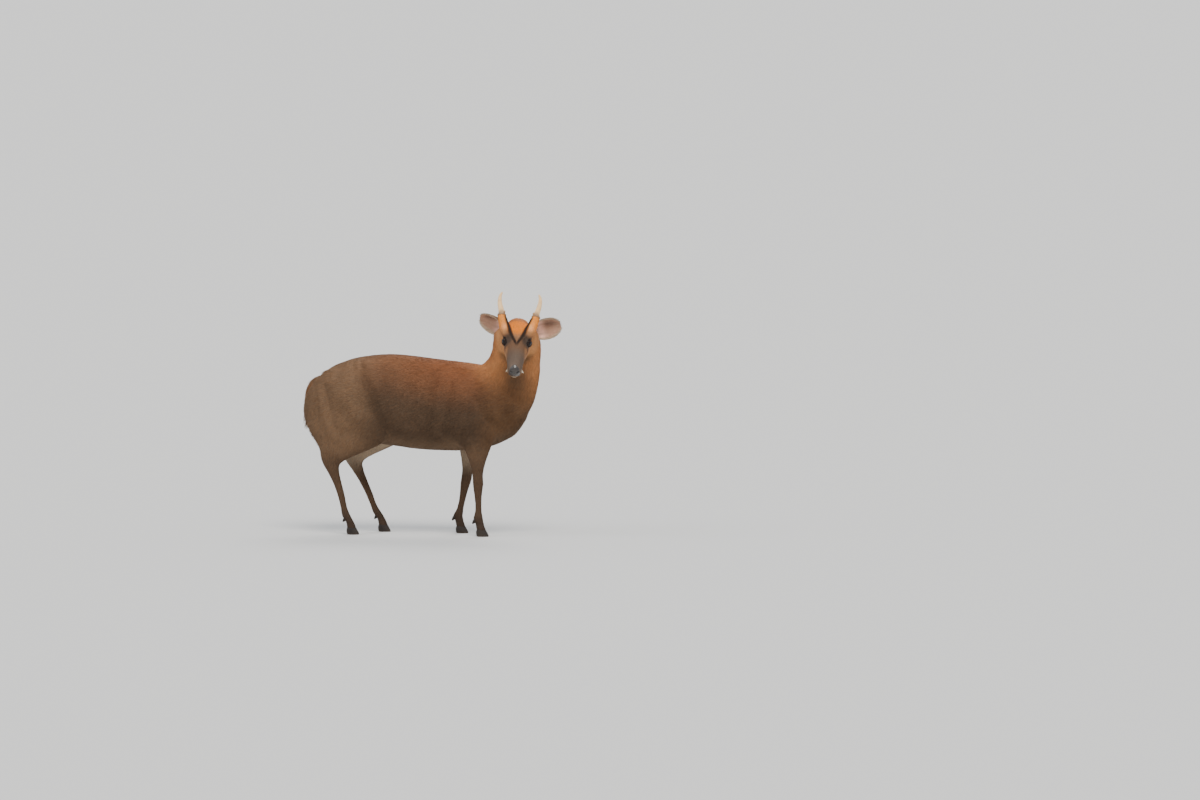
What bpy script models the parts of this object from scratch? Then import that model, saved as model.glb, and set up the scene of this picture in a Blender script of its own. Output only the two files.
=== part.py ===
# A muntjac buck as a still, life-size museum model, standing square with its head
# turned to look over its right side.
# Metres, +Z up. The body runs along X with the chest at +X, and the head looks to -Y.
# The origin is on the floor, below the middle of the model.

import math

import bmesh
import bpy
import numpy as np
from mathutils import Matrix, Vector
from mathutils.bvhtree import BVHTree

# Driving sizes.
SHOULDER_HEIGHT = 0.47
U = SHOULDER_HEIGHT / 47.0  # the tables below are drawn for a buck 47 units tall
GAP = 0.0003  # between nodes that touch
MIDDLE = (2.24, -4.44)  # x and y of the whole model's middle in the tables' own axes

# How the head is carried, in degrees, and the point midway between the eyes.
HEAD_TURN = -78.7  # from +X, towards the animal's right
HEAD_PITCH = 35.0  # nose down
HEAD_ROLL = 4.0
EYES_MIDDLE = (27.7, -9.5, 53.3)

# Torso: upright sections from rump to breast.
# x, top, bottom, half width, height of the widest point as a share of the depth
TORSO = (
    (-31.4, 38.4, 32.0, 2.6, 0.50),
    (-30.2, 41.0, 29.6, 4.8, 0.52),
    (-27.0, 44.4, 27.4, 6.6, 0.55),
    (-21.0, 47.3, 25.6, 8.0, 0.55),
    (-14.0, 48.7, 24.6, 8.2, 0.50),
    (-8.0, 49.0, 23.9, 8.5, 0.45),
    (-2.0, 48.5, 23.2, 8.9, 0.43),
    (5.0, 47.7, 22.9, 8.8, 0.42),
    (11.0, 47.1, 23.0, 8.0, 0.43),
    (16.5, 46.3, 23.8, 7.0, 0.45),
    (22.0, 43.8, 25.6, 6.2, 0.47),
    (26.5, 40.5, 29.0, 4.8, 0.50),
    (28.6, 37.0, 32.5, 2.6, 0.50),
)

# Neck and breast: level sections, from the brisket up to the poll.
# z, back, front, middle in y, half width
NECK = (
    (25.2, 10.5, 20.0, 0.0, 3.2),
    (27.0, 9.0, 23.4, 0.0, 4.4),
    (30.0, 7.0, 26.2, 0.0, 5.4),
    (33.0, 6.0, 28.6, 0.0, 6.0),
    (36.5, 6.5, 30.4, 0.0, 6.2),
    (40.5, 9.0, 31.5, -0.2, 6.1),
    (44.6, 13.6, 32.2, -0.6, 5.7),
    (48.0, 17.8, 32.4, -1.2, 5.3),
    (51.4, 19.4, 32.6, -1.9, 5.1),
    (54.0, 19.9, 32.4, -2.5, 4.8),
    (56.4, 21.0, 31.5, -3.2, 4.1),
    (57.8, 22.8, 30.0, -3.5, 2.7),
)

# Head: sections across the face line, from the poll to the nose, from the eyes' middle.
# along, top, bottom, half width, height of the widest point as a share of the depth
SKULL = (
    (-9.2, 0.9, -2.2, 1.4, 0.5),
    (-8.2, 1.9, -3.8, 2.7, 0.5),
    (-6.0, 2.7, -5.4, 3.5, 0.55),
    (-3.5, 2.9, -6.3, 3.8, 0.58),
    (-1.0, 2.6, -6.2, 3.8, 0.62),
    (1.0, 2.15, -5.7, 3.55, 0.62),
    (3.0, 1.6, -4.9, 3.15, 0.56),
    (5.0, 1.1, -4.2, 2.65, 0.50),
    (7.0, 0.65, -3.75, 2.25, 0.46),
    (9.0, 0.25, -3.6, 2.0, 0.44),
    (10.4, -0.2, -3.4, 1.65, 0.45),
    (11.3, -0.9, -2.9, 0.95, 0.5),
)
JAW = (
    (-5.0, -3.2, -6.4, 2.4, 0.5),
    (-3.0, -3.4, -6.9, 2.9, 0.5),
    (0.0, -3.5, -6.4, 2.6, 0.5),
    (3.0, -3.4, -5.6, 2.0, 0.5),
    (6.0, -3.2, -5.2, 1.55, 0.5),
    (8.4, -3.1, -5.05, 1.3, 0.5),
    (9.7, -3.1, -4.8, 1.0, 0.5),
    (10.3, -3.3, -4.3, 0.5, 0.5),
)

# Rounded masses on the head: along, out, up from the eyes' middle, then their radii.
ORBIT = ((0.0, 2.55, 0.0), (1.9, 1.35, 1.55))
TEMPLE = ((-1.5, 2.5, 0.1), (2.3, 1.6, 1.6))
CHEEK = ((-2.6, 2.35, -3.3), (2.9, 1.5, 2.7))
BROW = ((-1.6, 2.5, 1.75), (2.6, 1.25, 1.0))
NOSE_PAD = ((10.3, 0.0, -1.5), (1.05, 1.55, 1.3))
LIP = ((8.5, 1.15, -3.0), (2.3, 0.95, 0.95))
EAR_MOUND = ((-5.9, 3.0, -1.5), (2.0, 1.6, 1.9))

# Legs: level sections in front of and behind an upright line through the foot.
# z, front, back, half width, how far the middle stands in from the foot's own line
FORE_LEG = (
    (40.0, 3.0, -6.0, 1.4, 2.0),
    (37.0, 4.2, -7.2, 2.4, 1.5),
    (33.0, 5.4, -7.0, 2.9, 1.0),
    (29.5, 5.4, -6.2, 2.8, 0.6),
    (26.6, 4.8, -5.2, 2.4, 0.4),
    (23.5, 3.5, -3.7, 2.1, 0.2),
    (20.0, 2.2, -2.4, 1.65, 0.1),
    (17.0, 1.5, -1.7, 1.35, 0.0),
    (14.2, 1.5, -1.55, 1.45, 0.0),
    (12.2, 1.2, -1.35, 1.2, 0.0),
    (9.0, 0.95, -1.05, 0.95, 0.0),
    (6.5, 0.95, -1.15, 1.0, 0.0),
    (4.8, 1.2, -1.6, 1.2, 0.0),
    (3.4, 1.45, -1.0, 1.08, 0.0),
    (1.6, 2.1, -0.7, 1.2, 0.0),
)
HIND_LEG = (
    (45.0, 5.5, -6.5, 1.6, 1.9),
    (42.0, 8.0, -9.5, 3.0, 1.5),
    (38.0, 9.6, -11.9, 3.9, 1.1),
    (34.0, 11.0, -12.6, 4.1, 0.8),
    (30.5, 12.3, -11.8, 3.7, 0.5),
    (27.5, 12.2, -10.6, 3.1, 0.3),
    (25.2, 10.0, -9.2, 2.7, 0.2),
    (23.0, 5.6, -8.3, 2.2, 0.1),
    (21.2, 1.2, -8.0, 1.75, 0.0),
    (19.3, -2.2, -7.4, 1.5, 0.0),
    (17.0, -2.6, -6.1, 1.35, 0.0),
    (14.5, -2.1, -4.8, 1.15, 0.0),
    (10.5, -1.1, -3.3, 0.98, 0.0),
    (7.0, -0.4, -2.4, 1.0, 0.0),
    (4.9, 0.5, -2.0, 1.2, 0.0),
    (3.4, 1.35, -1.0, 1.08, 0.0),
    (1.6, 2.1, -0.7, 1.2, 0.0),
)
# x of the foot's line, x of the same line at the top of the leg, y of the foot
STANCE = {
    "front_right": (FORE_LEG, 16.2, 15.6, -5.2),
    "front_left": (FORE_LEG, 8.2, 14.6, 5.2),
    "hind_right": (HIND_LEG, -19.8, -20.0, -5.6),
    "hind_left": (HIND_LEG, -13.6, -19.6, 5.6),
}
FETLOCK_TO_FLOOR = 4.8  # below this the foot keeps its shape however the leg leans
CORONET = 1.9  # where skin ends and hoof begins

# Muscles and hollows on each flank: x and z of both ends, reach, and height (a hollow below 0).
MUSCLES = (
    ((13.5, 45.5), (20.5, 34.5), 2.6, 0.45),  # shoulder blade
    ((19.0, 33.5), (11.0, 29.5), 3.0, 0.5),  # upper arm
    ((8.5, 43.0), (6.5, 29.0), 1.8, -0.35),  # behind the shoulder
    ((17.0, 47.5), (26.0, 36.0), 1.7, -0.35),  # before the shoulder
    ((-4.5, 42.0), (-3.0, 32.0), 3.5, -0.45),  # flank
    ((-14.0, 44.5), (-9.0, 31.0), 2.6, 0.4),  # front of the thigh
    ((-21.0, 41.0), (-18.0, 32.0), 4.0, 0.3),  # thigh
    ((-26.0, 40.0), (-23.0, 29.0), 1.4, -0.25),  # back of the thigh
    ((-15.0, 46.2), (-16.5, 46.0), 1.8, 0.35),  # hip bone
)

HOOF_CLEFT = 0.16
# height, toe, heel, width of one claw
HOOF = (
    (0.0, 2.75, -0.5, 0.96),
    (0.35, 2.68, -0.66, 1.0),
    (0.9, 2.42, -0.76, 1.02),
    (1.45, 2.08, -0.72, 1.0),
    (1.87, 1.8, -0.6, 0.92),
)
DEWCLAW = (1.15, 0.42)  # length, half width at the root

EYE_RADIUS = 1.22
EYE_OUT = 2.78
EYE_OPENING = (1.16, 0.76)  # half length and half height between the lids
EYE_AIM = (0.58, 0.72, 0.38)
LID = 0.18
MOUTH_CORNER = 5.0
MOUTH_HEIGHT = (-3.3, -3.8)  # below the nose, and at the corners
MOUTH_GAP = 0.09
MOUTH_DEPTH = 0.3
# From where and which way each pit is set, the way it slants, and its radii.
NOSTRIL = ((9.0, 0.2, -1.7), (1.0, 0.5, 0.05), (-0.5, 1.0, 0.5), (0.5, 0.24, 0.45))
GLAND = ((2.3, 0.5, -0.3), (0.3, 1.0, 0.25), (1.0, -0.2, -0.35), (0.95, 0.2, 0.3))

EAR_ROOT = (-5.9, 3.2, -1.3)
EAR_LENGTH = 8.85
EAR_WIDTH = 6.0
EAR_WALL = 0.26
EAR_BOW = 0.5
EAR_STATIONS = (0.0, 0.05, 0.11, 0.18, 0.27, 0.37, 0.48, 0.59, 0.69, 0.78, 0.86, 0.92, 0.965, 0.99)
# Half width along the ear, as a share of the widest.
EAR_SHAPE = (
    (0.0, 0.42), (0.1, 0.52), (0.25, 0.8), (0.4, 0.96), (0.55, 1.0), (0.7, 0.96),
    (0.82, 0.84), (0.91, 0.64), (0.97, 0.4), (1.0, 0.18),
)
# How far each ear is lifted above level, swept back, and turned about its own length.
EAR_POSE = {"right": (22.0, 24.0, 36.0), "left": (18.0, 6.0, 6.0)}

# Along, out, up and radius, from inside the brow to the burr; the last runs on a little.
PEDICLE = (
    (0.6, 2.3, -0.1, 0.9),
    (-0.6, 2.75, 1.2, 1.4),
    (-3.2, 3.75, 2.5, 1.48),
    (-6.1, 4.6, 3.7, 1.26),
    (-7.0, 4.9, 4.0, 1.18),
)
ANTLER_LENGTH = 7.0
# Share of the length, out and up from the burr, and radius.
ANTLER = (
    (0.0, 0.0, 0.0, 1.1),
    (0.05, 0.03, 0.14, 1.16),
    (0.11, 0.08, 0.3, 0.86),
    (0.3, 0.4, 0.85, 0.7),
    (0.5, 0.72, 1.35, 0.6),
    (0.7, 0.88, 1.85, 0.5),
    (0.86, 0.78, 2.3, 0.38),
    (0.96, 0.5, 2.6, 0.26),
    (1.0, 0.34, 2.7, 0.14),
)
ANTLER_STUB = ((-0.4, -0.3, 0.5), (-0.6, -0.6, 1.0), (-0.8, -0.75, 1.35))
TUSK_ROOT = (7.6, 1.35, -3.0)
TUSK_TIP = (6.7, 2.4, -5.2)

# x, z, half width and half thickness, from the root down
TAIL = (
    (-28.6, 42.4, 1.5, 0.9),
    (-30.6, 41.3, 1.9, 0.95),
    (-32.0, 39.3, 2.15, 0.8),
    (-32.7, 36.6, 2.3, 0.7),
    (-33.1, 33.6, 2.0, 0.6),
    (-33.0, 31.0, 1.3, 0.45),
    (-32.7, 29.4, 0.5, 0.25),
)

VOXEL = 0.0032
TRUNK_TRIANGLES = 4200
HEAD_TRIANGLES = 2100

# Side outlines, as x and height, that mark each leg off from the body.
HAUNCH = (
    (-45, -2), (-2, -2), (-2, 19), (-6, 25), (-7.5, 32), (-11, 39), (-17, 43.5),
    (-24, 43.8), (-30, 41), (-37, 36), (-45, 28),
)
SHOULDER = (
    (-6, -2), (28, -2), (28, 18), (21, 23.5), (21, 29), (22, 34), (20, 39),
    (15.5, 41.5), (10.5, 38), (8, 32), (8, 27), (4, 21), (-6, 16),
)
# The cuts before and behind the neck. The first runs along the way the head looks.
HEAD_CUT = ((3.2, 75), (3.2, 47.3), (7.0, 46.6), (9.0, 44.5), (12, 30), (60, 30), (60, 75))
NECK_CUT = ((8.0, 75), (8.0, 60), (14.5, 48.0), (24, 40.5), (36, 34), (60, 28), (60, 75))

COLOURS = {
    "coat": ((0.19, 0.095, 0.045), 0.75, 0.0),
    "ear": ((0.24, 0.15, 0.10), 0.75, 0.0),
    "horn": ((0.035, 0.028, 0.022), 0.45, 0.0),
    "antler": ((0.62, 0.50, 0.34), 0.45, 0.0),
    "eye": ((0.012, 0.009, 0.007), 0.08, 0.0),
    "ivory": ((0.75, 0.68, 0.52), 0.35, 0.0),
}


def clear_scene():
    for obj in list(bpy.data.objects):
        bpy.data.objects.remove(obj, do_unlink=True)


def make_collection(name):
    collection = bpy.data.collections.new(name)
    bpy.context.scene.collection.children.link(collection)
    return collection


def make_material(name):
    colour, roughness, metallic = COLOURS[name]
    material = bpy.data.materials.get(name) or bpy.data.materials.new(name)
    material.use_nodes = True
    shader = material.node_tree.nodes["Principled BSDF"]
    shader.inputs["Base Color"].default_value = (*colour, 1.0)
    shader.inputs["Roughness"].default_value = roughness
    shader.inputs["Metallic"].default_value = metallic
    return material


def add_object(name, points, faces, collection=None):
    mesh = bpy.data.meshes.new(name)
    mesh.from_pydata([tuple(p) for p in points], [], faces)
    mesh.update()
    obj = bpy.data.objects.new(name, mesh)
    (collection or bpy.context.scene.collection).objects.link(obj)
    return obj


def remove(*objects):
    for obj in objects:
        bpy.data.objects.remove(obj, do_unlink=True)


def apply_modifiers(obj):
    bpy.context.view_layer.update()
    graph = bpy.context.evaluated_depsgraph_get()
    mesh = bpy.data.meshes.new_from_object(obj.evaluated_get(graph))
    obj.modifiers.clear()
    old, obj.data = obj.data, mesh
    bpy.data.meshes.remove(old)
    return obj


def joined(name, objects):
    """One mesh that holds the closed shells of several objects."""
    points, faces, start = [], [], 0
    for obj in objects:
        points += [obj.matrix_world @ v.co for v in obj.data.vertices]
        faces += [[start + i for i in p.vertices] for p in obj.data.polygons]
        start = len(points)
    remove(*objects)
    return add_object(name, points, faces)


def eased(rows, count):
    """Rows of a table read again at even steps of the first column, on a smooth curve."""
    rows = np.array(sorted(rows, key=lambda r: r[0]), float)
    at = rows[:, 0]
    slopes = np.gradient(rows, at, axis=0)
    steps = np.linspace(at[0], at[-1], count)
    k = np.clip(np.searchsorted(at, steps, side="right") - 1, 0, len(at) - 2)
    h = (at[k + 1] - at[k])[:, None]
    t = ((steps - at[k])[:, None]) / h
    a, b = rows[k], rows[k + 1]
    ma, mb = slopes[k] * h, slopes[k + 1] * h
    curve = (
        (2 * t**3 - 3 * t**2 + 1) * a
        + (t**3 - 2 * t**2 + t) * ma
        + (3 * t**2 - 2 * t**3) * b
        + (t**3 - t**2) * mb
    )
    curve[:, 0] = steps
    return curve


def ring(centre, side, up, half_side, half_up, half_down, roundness=2.0, sides=40):
    """A closed section: half_up and half_down are its two unlike halves."""
    turn = np.arange(sides) * 2 * math.pi / sides
    c, s = np.cos(turn), np.sin(turn)
    power = 2.0 / roundness
    across = half_side * np.sign(c) * np.abs(c) ** power
    along = np.where(s > 0, half_up, half_down) * np.sign(s) * np.abs(s) ** power
    return np.array(centre) + np.outer(across, side) + np.outer(along, up)


def loft(name, rings, collection=None):
    """Skins rings of equal count and closes each end with a fan."""
    sides = len(rings[0])
    points = [p for r in rings for p in r]
    faces = []
    for i in range(len(rings) - 1):
        for j in range(sides):
            k = (j + 1) % sides
            a, b = i * sides, (i + 1) * sides
            faces.append((a + j, a + k, b + k, b + j))
    for row, ring_points in ((0, rings[0]), (len(rings) - 1, rings[-1])):
        middle = len(points)
        points.append(np.mean(ring_points, axis=0))
        for j in range(sides):
            k = (j + 1) % sides
            pair = (row * sides + j, row * sides + k)
            faces.append((middle, *(pair if row else pair[::-1])))
    obj = add_object(name, points, faces, collection)
    face_out(obj)
    return obj


def face_out(obj):
    mesh = bmesh.new()
    mesh.from_mesh(obj.data)
    bmesh.ops.recalc_face_normals(mesh, faces=mesh.faces)
    if mesh.calc_volume(signed=True) < 0:
        bmesh.ops.reverse_faces(mesh, faces=mesh.faces)
    mesh.to_mesh(obj.data)
    mesh.free()
    obj.data.update()


def head_axes():
    """Forward out of the nose, the animal's left, and up, as unit vectors."""
    turn, pitch, roll = (math.radians(a) for a in (HEAD_TURN, HEAD_PITCH, HEAD_ROLL))
    spin = (
        Matrix.Rotation(turn, 3, "Z")
        @ Matrix.Rotation(-roll, 3, "X")
        @ Matrix.Rotation(pitch, 3, "Y")
    )
    return [np.array(spin @ Vector(a)) for a in ((1, 0, 0), (0, 1, 0), (0, 0, 1))]


def on_head(along, out, up):
    """A point given from the eyes' middle, in metres."""
    forward, left, top = head_axes()
    return (np.array(EYES_MIDDLE) + along * forward + out * left + up * top) * U


def torso():
    rings = []
    for x, top, bottom, half, share in eased(TORSO, 36):
        middle = bottom + share * (top - bottom)
        rings.append(
            ring((x * U, 0, middle * U), (0, 1, 0), (0, 0, 1),
                 half * U, (top - middle) * U, (middle - bottom) * U, 2.15)
        )
    return loft("torso_form", rings)


def neck():
    rings = []
    for z, back, front, middle_y, half in eased(NECK, 34):
        middle = back + 0.45 * (front - back)
        rings.append(
            ring((middle * U, middle_y * U, z * U), (0, 1, 0), (1, 0, 0),
                 half * U, (front - middle) * U, (middle - back) * U, 2.1)
        )
    return loft("neck_form", rings)


def leg(name):
    sections, foot_x, top_x, foot_y = STANCE[name]
    side = math.copysign(1.0, foot_y)
    top_z = sections[0][0]
    rings = []
    for z, front, back, half, inset in eased(sections, 46):
        rise = max(0.0, (z - FETLOCK_TO_FLOOR) / (top_z - FETLOCK_TO_FLOOR))
        line = foot_x + (top_x - foot_x) * rise**0.85
        middle = (front + back) / 2
        rings.append(
            ring(((line + middle) * U, (foot_y - side * inset) * U, z * U),
                 (0, 1, 0), (1, 0, 0),
                 half * U, (front - middle) * U, (middle - back) * U, 2.1)
        )
    return loft(name + "_form", rings)


def head_loft(name, table, roundness):
    forward, left, top_axis = head_axes()
    rings = []
    for along, top, bottom, half, share in eased(table, 34):
        middle = bottom + share * (top - bottom)
        rings.append(
            ring(on_head(along, 0, middle), left, top_axis,
                 half * U, (top - middle) * U, (middle - bottom) * U, roundness)
        )
    return loft(name, rings)


def head_mass(name, place, radii, side=1.0):
    """A rounded mass set square to the head."""
    forward, left, top = head_axes()
    mesh = bmesh.new()
    bmesh.ops.create_uvsphere(mesh, u_segments=24, v_segments=16, radius=1.0)
    axes = Matrix(
        [[forward[i] * radii[0], left[i] * radii[1], top[i] * radii[2]] for i in range(3)]
    )
    centre = on_head(place[0], side * place[1], place[2])
    for vert in mesh.verts:
        vert.co = (axes @ vert.co) * U + Vector(centre)
    data = bpy.data.meshes.new(name)
    mesh.to_mesh(data)
    mesh.free()
    obj = bpy.data.objects.new(name, data)
    bpy.context.scene.collection.objects.link(obj)
    return obj


def horn_curve(points, radii, name, sides=14, steps=16, collection=None, flute=0.0):
    """A tapering bent tube through a few points, with shallow lengthwise grooves."""
    points = np.array(points, float)
    at = np.linspace(0, 1, len(points))
    rows = np.column_stack([at, points, np.interp(at, np.linspace(0, 1, len(radii)), radii)])
    rows = eased(rows, steps)
    rings = []
    side = None
    for i, row in enumerate(rows):
        ahead = rows[min(i + 1, steps - 1), 1:4] - rows[max(i - 1, 0), 1:4]
        ahead /= np.linalg.norm(ahead)
        if side is None:
            side = np.cross(ahead, (0.0, 1.0, 0.2))
        side = side - ahead * side.dot(ahead)
        side /= np.linalg.norm(side)
        up = np.cross(ahead, side)
        turn = np.arange(sides) * 2 * math.pi / sides
        reach = row[4] * (1 + flute * np.cos(turn * sides / 2))
        rings.append(
            row[1:4] + np.outer(np.cos(turn) * reach, side) + np.outer(np.sin(turn) * reach, up)
        )
    return loft(name, rings, collection)


def pedicle(side):
    points = [on_head(along, side * out, up) for along, out, up, radius in PEDICLE]
    return horn_curve(points, [row[3] * U for row in PEDICLE], "pedicle_form", 16, 12)


def smooth(obj, passes, weights):
    """Evens the mesh out where the weights, one for each point, are high."""
    count = len(obj.data.vertices)
    points = np.empty(count * 3)
    obj.data.vertices.foreach_get("co", points)
    points = points.reshape(-1, 3)
    edges = np.empty(len(obj.data.edges) * 2, int)
    obj.data.edges.foreach_get("vertices", edges)
    a, b = edges.reshape(-1, 2).T
    near = np.bincount(a, minlength=count) + np.bincount(b, minlength=count)
    for _ in range(passes):
        total = np.empty_like(points)
        for axis in range(3):
            total[:, axis] = np.bincount(a, points[b, axis], count)
            total[:, axis] += np.bincount(b, points[a, axis], count)
        points += (total / near[:, None] - points) * weights[:, None] * 0.6
    obj.data.vertices.foreach_set("co", points.ravel())
    obj.data.update()


def mesh_points(obj):
    points = np.empty(len(obj.data.vertices) * 3)
    obj.data.vertices.foreach_get("co", points)
    return points.reshape(-1, 3)


def head_coordinates(points):
    """Each point's place along, out from and up from the eyes' middle, in table units."""
    forward, left, top = head_axes()
    away = points / U - np.array(EYES_MIDDLE)
    return away @ forward, away @ left, away @ top


def body_form():
    """Torso, neck, head, legs and pedicles melted into one even surface."""
    forms = [torso(), neck()] + [leg(name) for name in STANCE]
    forms += [head_loft("skull_form", SKULL, 2.2), head_loft("jaw_form", JAW, 2.2)]
    for side in (-1.0, 1.0):
        forms += [head_mass("mass", *m, side) for m in (ORBIT, TEMPLE, CHEEK, BROW, LIP, EAR_MOUND)]
        forms.append(pedicle(side))
    forms.append(head_mass("mass", *NOSE_PAD))
    body = joined("body", forms)
    fuse = body.modifiers.new("fuse", "REMESH")
    fuse.mode = "VOXEL"
    fuse.voxel_size = VOXEL
    apply_modifiers(body)
    points = mesh_points(body)
    height = points[:, 2] / U
    trunk = np.clip((height - 22.0) / 4.0, 0.0, 1.0)
    smooth(body, 26, np.where(in_head(points), 0.12, trunk * 0.9))
    smooth(body, 3, np.full(len(points), 0.6))
    raise_muscles(body)
    return body


def raise_muscles(body):
    """Moves the flanks in and out along their normals where muscles and hollows lie."""
    points = mesh_points(body) / U
    normals = np.empty(len(points) * 3)
    body.data.vertices.foreach_get("normal", normals)
    normals = normals.reshape(-1, 3)
    flat = points[:, [0, 2]]
    lift = np.zeros(len(points))
    for start, end, reach, height in MUSCLES:
        line = np.subtract(end, start)
        share = np.clip((flat - start) @ line / (line @ line), 0, 1)
        away = np.linalg.norm(flat - start - share[:, None] * line, axis=1)
        lift += height * np.exp(-((away / reach) ** 2))
    sideways = np.clip((np.abs(normals[:, 1]) - 0.2) / 0.5, 0, 1)
    outer = np.clip((np.abs(points[:, 1]) - 2.5) / 1.5, 0, 1) * (points[:, 1] * normals[:, 1] > 0)
    points += normals * (lift * sideways * outer * ~in_head(points * U))[:, None]
    body.data.vertices.foreach_set("co", (points * U).ravel())
    body.data.update()


def in_head(points):
    along, out, up = head_coordinates(points)
    return (along > -8) & (np.abs(out) < 7) & (up > -8) & (points[:, 2] > 41 * U)


def thin(obj, triangles, chosen=None):
    """Lowers the triangle count, inside the chosen points only where they are given."""
    obj.data.calc_loop_triangles()
    modifier = obj.modifiers.new("thin", "DECIMATE")
    modifier.ratio = min(1.0, triangles / len(obj.data.loop_triangles))
    if chosen is not None:
        group = obj.vertex_groups.new(name="chosen")
        group.add([int(i) for i in np.flatnonzero(chosen)], 1.0, "REPLACE")
        modifier.vertex_group = "chosen"
    apply_modifiers(obj)
    obj.vertex_groups.clear()


def thin_body(body):
    body.data.calc_loop_triangles()
    corners = np.empty(len(body.data.loop_triangles) * 3, int)
    body.data.loop_triangles.foreach_get("vertices", corners)
    head = in_head(mesh_points(body))
    on_head_count = int(head[corners[::3]].sum())
    thin(body, on_head_count + TRUNK_TRIANGLES * 1.15, ~head)
    head = in_head(mesh_points(body))
    thin(body, (TRUNK_TRIANGLES + HEAD_TRIANGLES) * 1.15, head)
    thin(body, TRUNK_TRIANGLES + HEAD_TRIANGLES)


def boolean(obj, cutter, operation):
    modifier = obj.modifiers.new("cut", "BOOLEAN")
    modifier.operation = operation
    modifier.object = cutter
    modifier.solver = "EXACT"
    return apply_modifiers(obj)


def copied(obj, name, grow=0.0):
    """A copy of an object, swollen by moving each point along its normal."""
    twin = bpy.data.objects.new(name, obj.data.copy())
    bpy.context.scene.collection.objects.link(twin)
    normals = [vert.normal.copy() for vert in obj.data.vertices]
    for vert, normal in zip(twin.data.vertices, normals):
        vert.co += normal * grow
    return twin


def largest_piece(obj):
    """Drops loose crumbs that a cut leaves behind."""
    mesh = bmesh.new()
    mesh.from_mesh(obj.data)
    mesh.verts.ensure_lookup_table()
    seen, pieces = set(), []
    for vert in mesh.verts:
        if vert in seen:
            continue
        piece, queue = [], [vert]
        seen.add(vert)
        while queue:
            at = queue.pop()
            piece.append(at)
            for edge in at.link_edges:
                other = edge.other_vert(at)
                if other not in seen:
                    seen.add(other)
                    queue.append(other)
        pieces.append(piece)
    pieces.sort(key=len)
    bmesh.ops.delete(mesh, geom=[v for piece in pieces[:-1] for v in piece], context="VERTS")
    mesh.to_mesh(obj.data)
    mesh.free()
    obj.data.update()


def outline_moved(points, distance):
    """A closed plane outline with each side moved outwards by a distance."""
    points = np.array(points, float)
    ahead = np.roll(points, -1, axis=0) - points
    ahead /= np.linalg.norm(ahead, axis=1)[:, None]
    turn = np.roll(points, -1, axis=0)
    area = (points[:, 0] * turn[:, 1] - turn[:, 0] * points[:, 1]).sum()
    out = np.column_stack([ahead[:, 1], -ahead[:, 0]]) * math.copysign(1, area)
    back = np.roll(out, 1, axis=0)
    both = out + back
    return points + both * (distance / (1 + (out * back).sum(axis=1)))[:, None]


def prism(name, outline, near, far, across, upright, normal, grow, cutters):
    """A straight block between two planes, its outline drawn on two given axes."""
    across, upright, normal = (np.array(a, float) for a in (across, upright, normal))
    flat = outline_moved(outline, grow)
    rings = []
    for depth in (near - grow, far + grow):
        rings.append([(a * across + b * upright + depth * normal) for a, b in flat])
    sides = len(flat)
    points = rings[0] + rings[1]
    faces = [tuple(range(sides)), tuple(range(2 * sides - 1, sides - 1, -1))]
    for j in range(sides):
        k = (j + 1) % sides
        faces.append((j, sides + j, sides + k, k))
    obj = add_object(name, points, faces, cutters)
    face_out(obj)
    return obj


def hide_cutters(cutters):
    for obj in cutters.objects:
        obj.hide_render = True
        obj.display_type = "WIRE"


def rounded(points, passes=2):
    """Corner cutting, which turns a coarse outline into a soft one."""
    points = np.array(points, float)
    for _ in range(passes):
        after = np.roll(points, -1, axis=0)
        points = np.stack([points * 0.75 + after * 0.25, points * 0.25 + after * 0.75], 1)
        points = points.reshape(-1, 2)
    return points


def leg_region(name, side, grow, cutters):
    """Everything of one leg, from its share of the haunch or shoulder to the floor."""
    outline, inner = (HAUNCH, 2.2) if name.startswith("hind") else (SHOULDER, 2.5)
    outline = rounded(outline) * U
    near, far = (inner * U, 20 * U) if side > 0 else (-20 * U, -inner * U)
    return prism(name + "_region", outline, near, far,
                 (1, 0, 0), (0, 0, 1), (0, 1, 0), grow, cutters)


def head_region(grow, cutters):
    """The head is cut from the neck behind its jaw and ears."""
    turn = math.radians(HEAD_TURN)
    ahead = (math.cos(turn), math.sin(turn), 0)
    left = (-math.sin(turn), math.cos(turn), 0)
    middle = np.dot(EYES_MIDDLE, left) * U
    return prism("head_region", rounded(HEAD_CUT) * U, middle - 16 * U, middle + 16 * U,
                 ahead, (0, 0, 1), left, grow, cutters)


def neck_region(grow, cutters):
    return prism("neck_region", rounded(NECK_CUT) * U, -25 * U, 25 * U,
                 (1, 0, 0), (0, 0, 1), (0, 1, 0), grow, cutters)


def split_body(body, cutters):
    """Cuts the one surface into nodes that stand a hair's breadth apart."""
    nodes = {}
    rest = body
    for name in STANCE:
        side = 1.0 if name.endswith("left") else -1.0
        node = copied(rest, "leg_" + name)
        nodes["leg_" + name] = boolean(node, leg_region(name, side, 0.0, cutters), "INTERSECT")
    for name in STANCE:
        side = 1.0 if name.endswith("left") else -1.0
        boolean(rest, leg_region(name, side, GAP, cutters), "DIFFERENCE")
    nodes["head"] = boolean(copied(rest, "head"), head_region(0.0, cutters), "INTERSECT")
    boolean(rest, head_region(GAP, cutters), "DIFFERENCE")
    nodes["neck"] = boolean(copied(rest, "neck"), neck_region(0.0, cutters), "INTERSECT")
    nodes["torso"] = boolean(rest, neck_region(GAP, cutters), "DIFFERENCE")
    rest.name = "torso"
    return nodes


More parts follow.
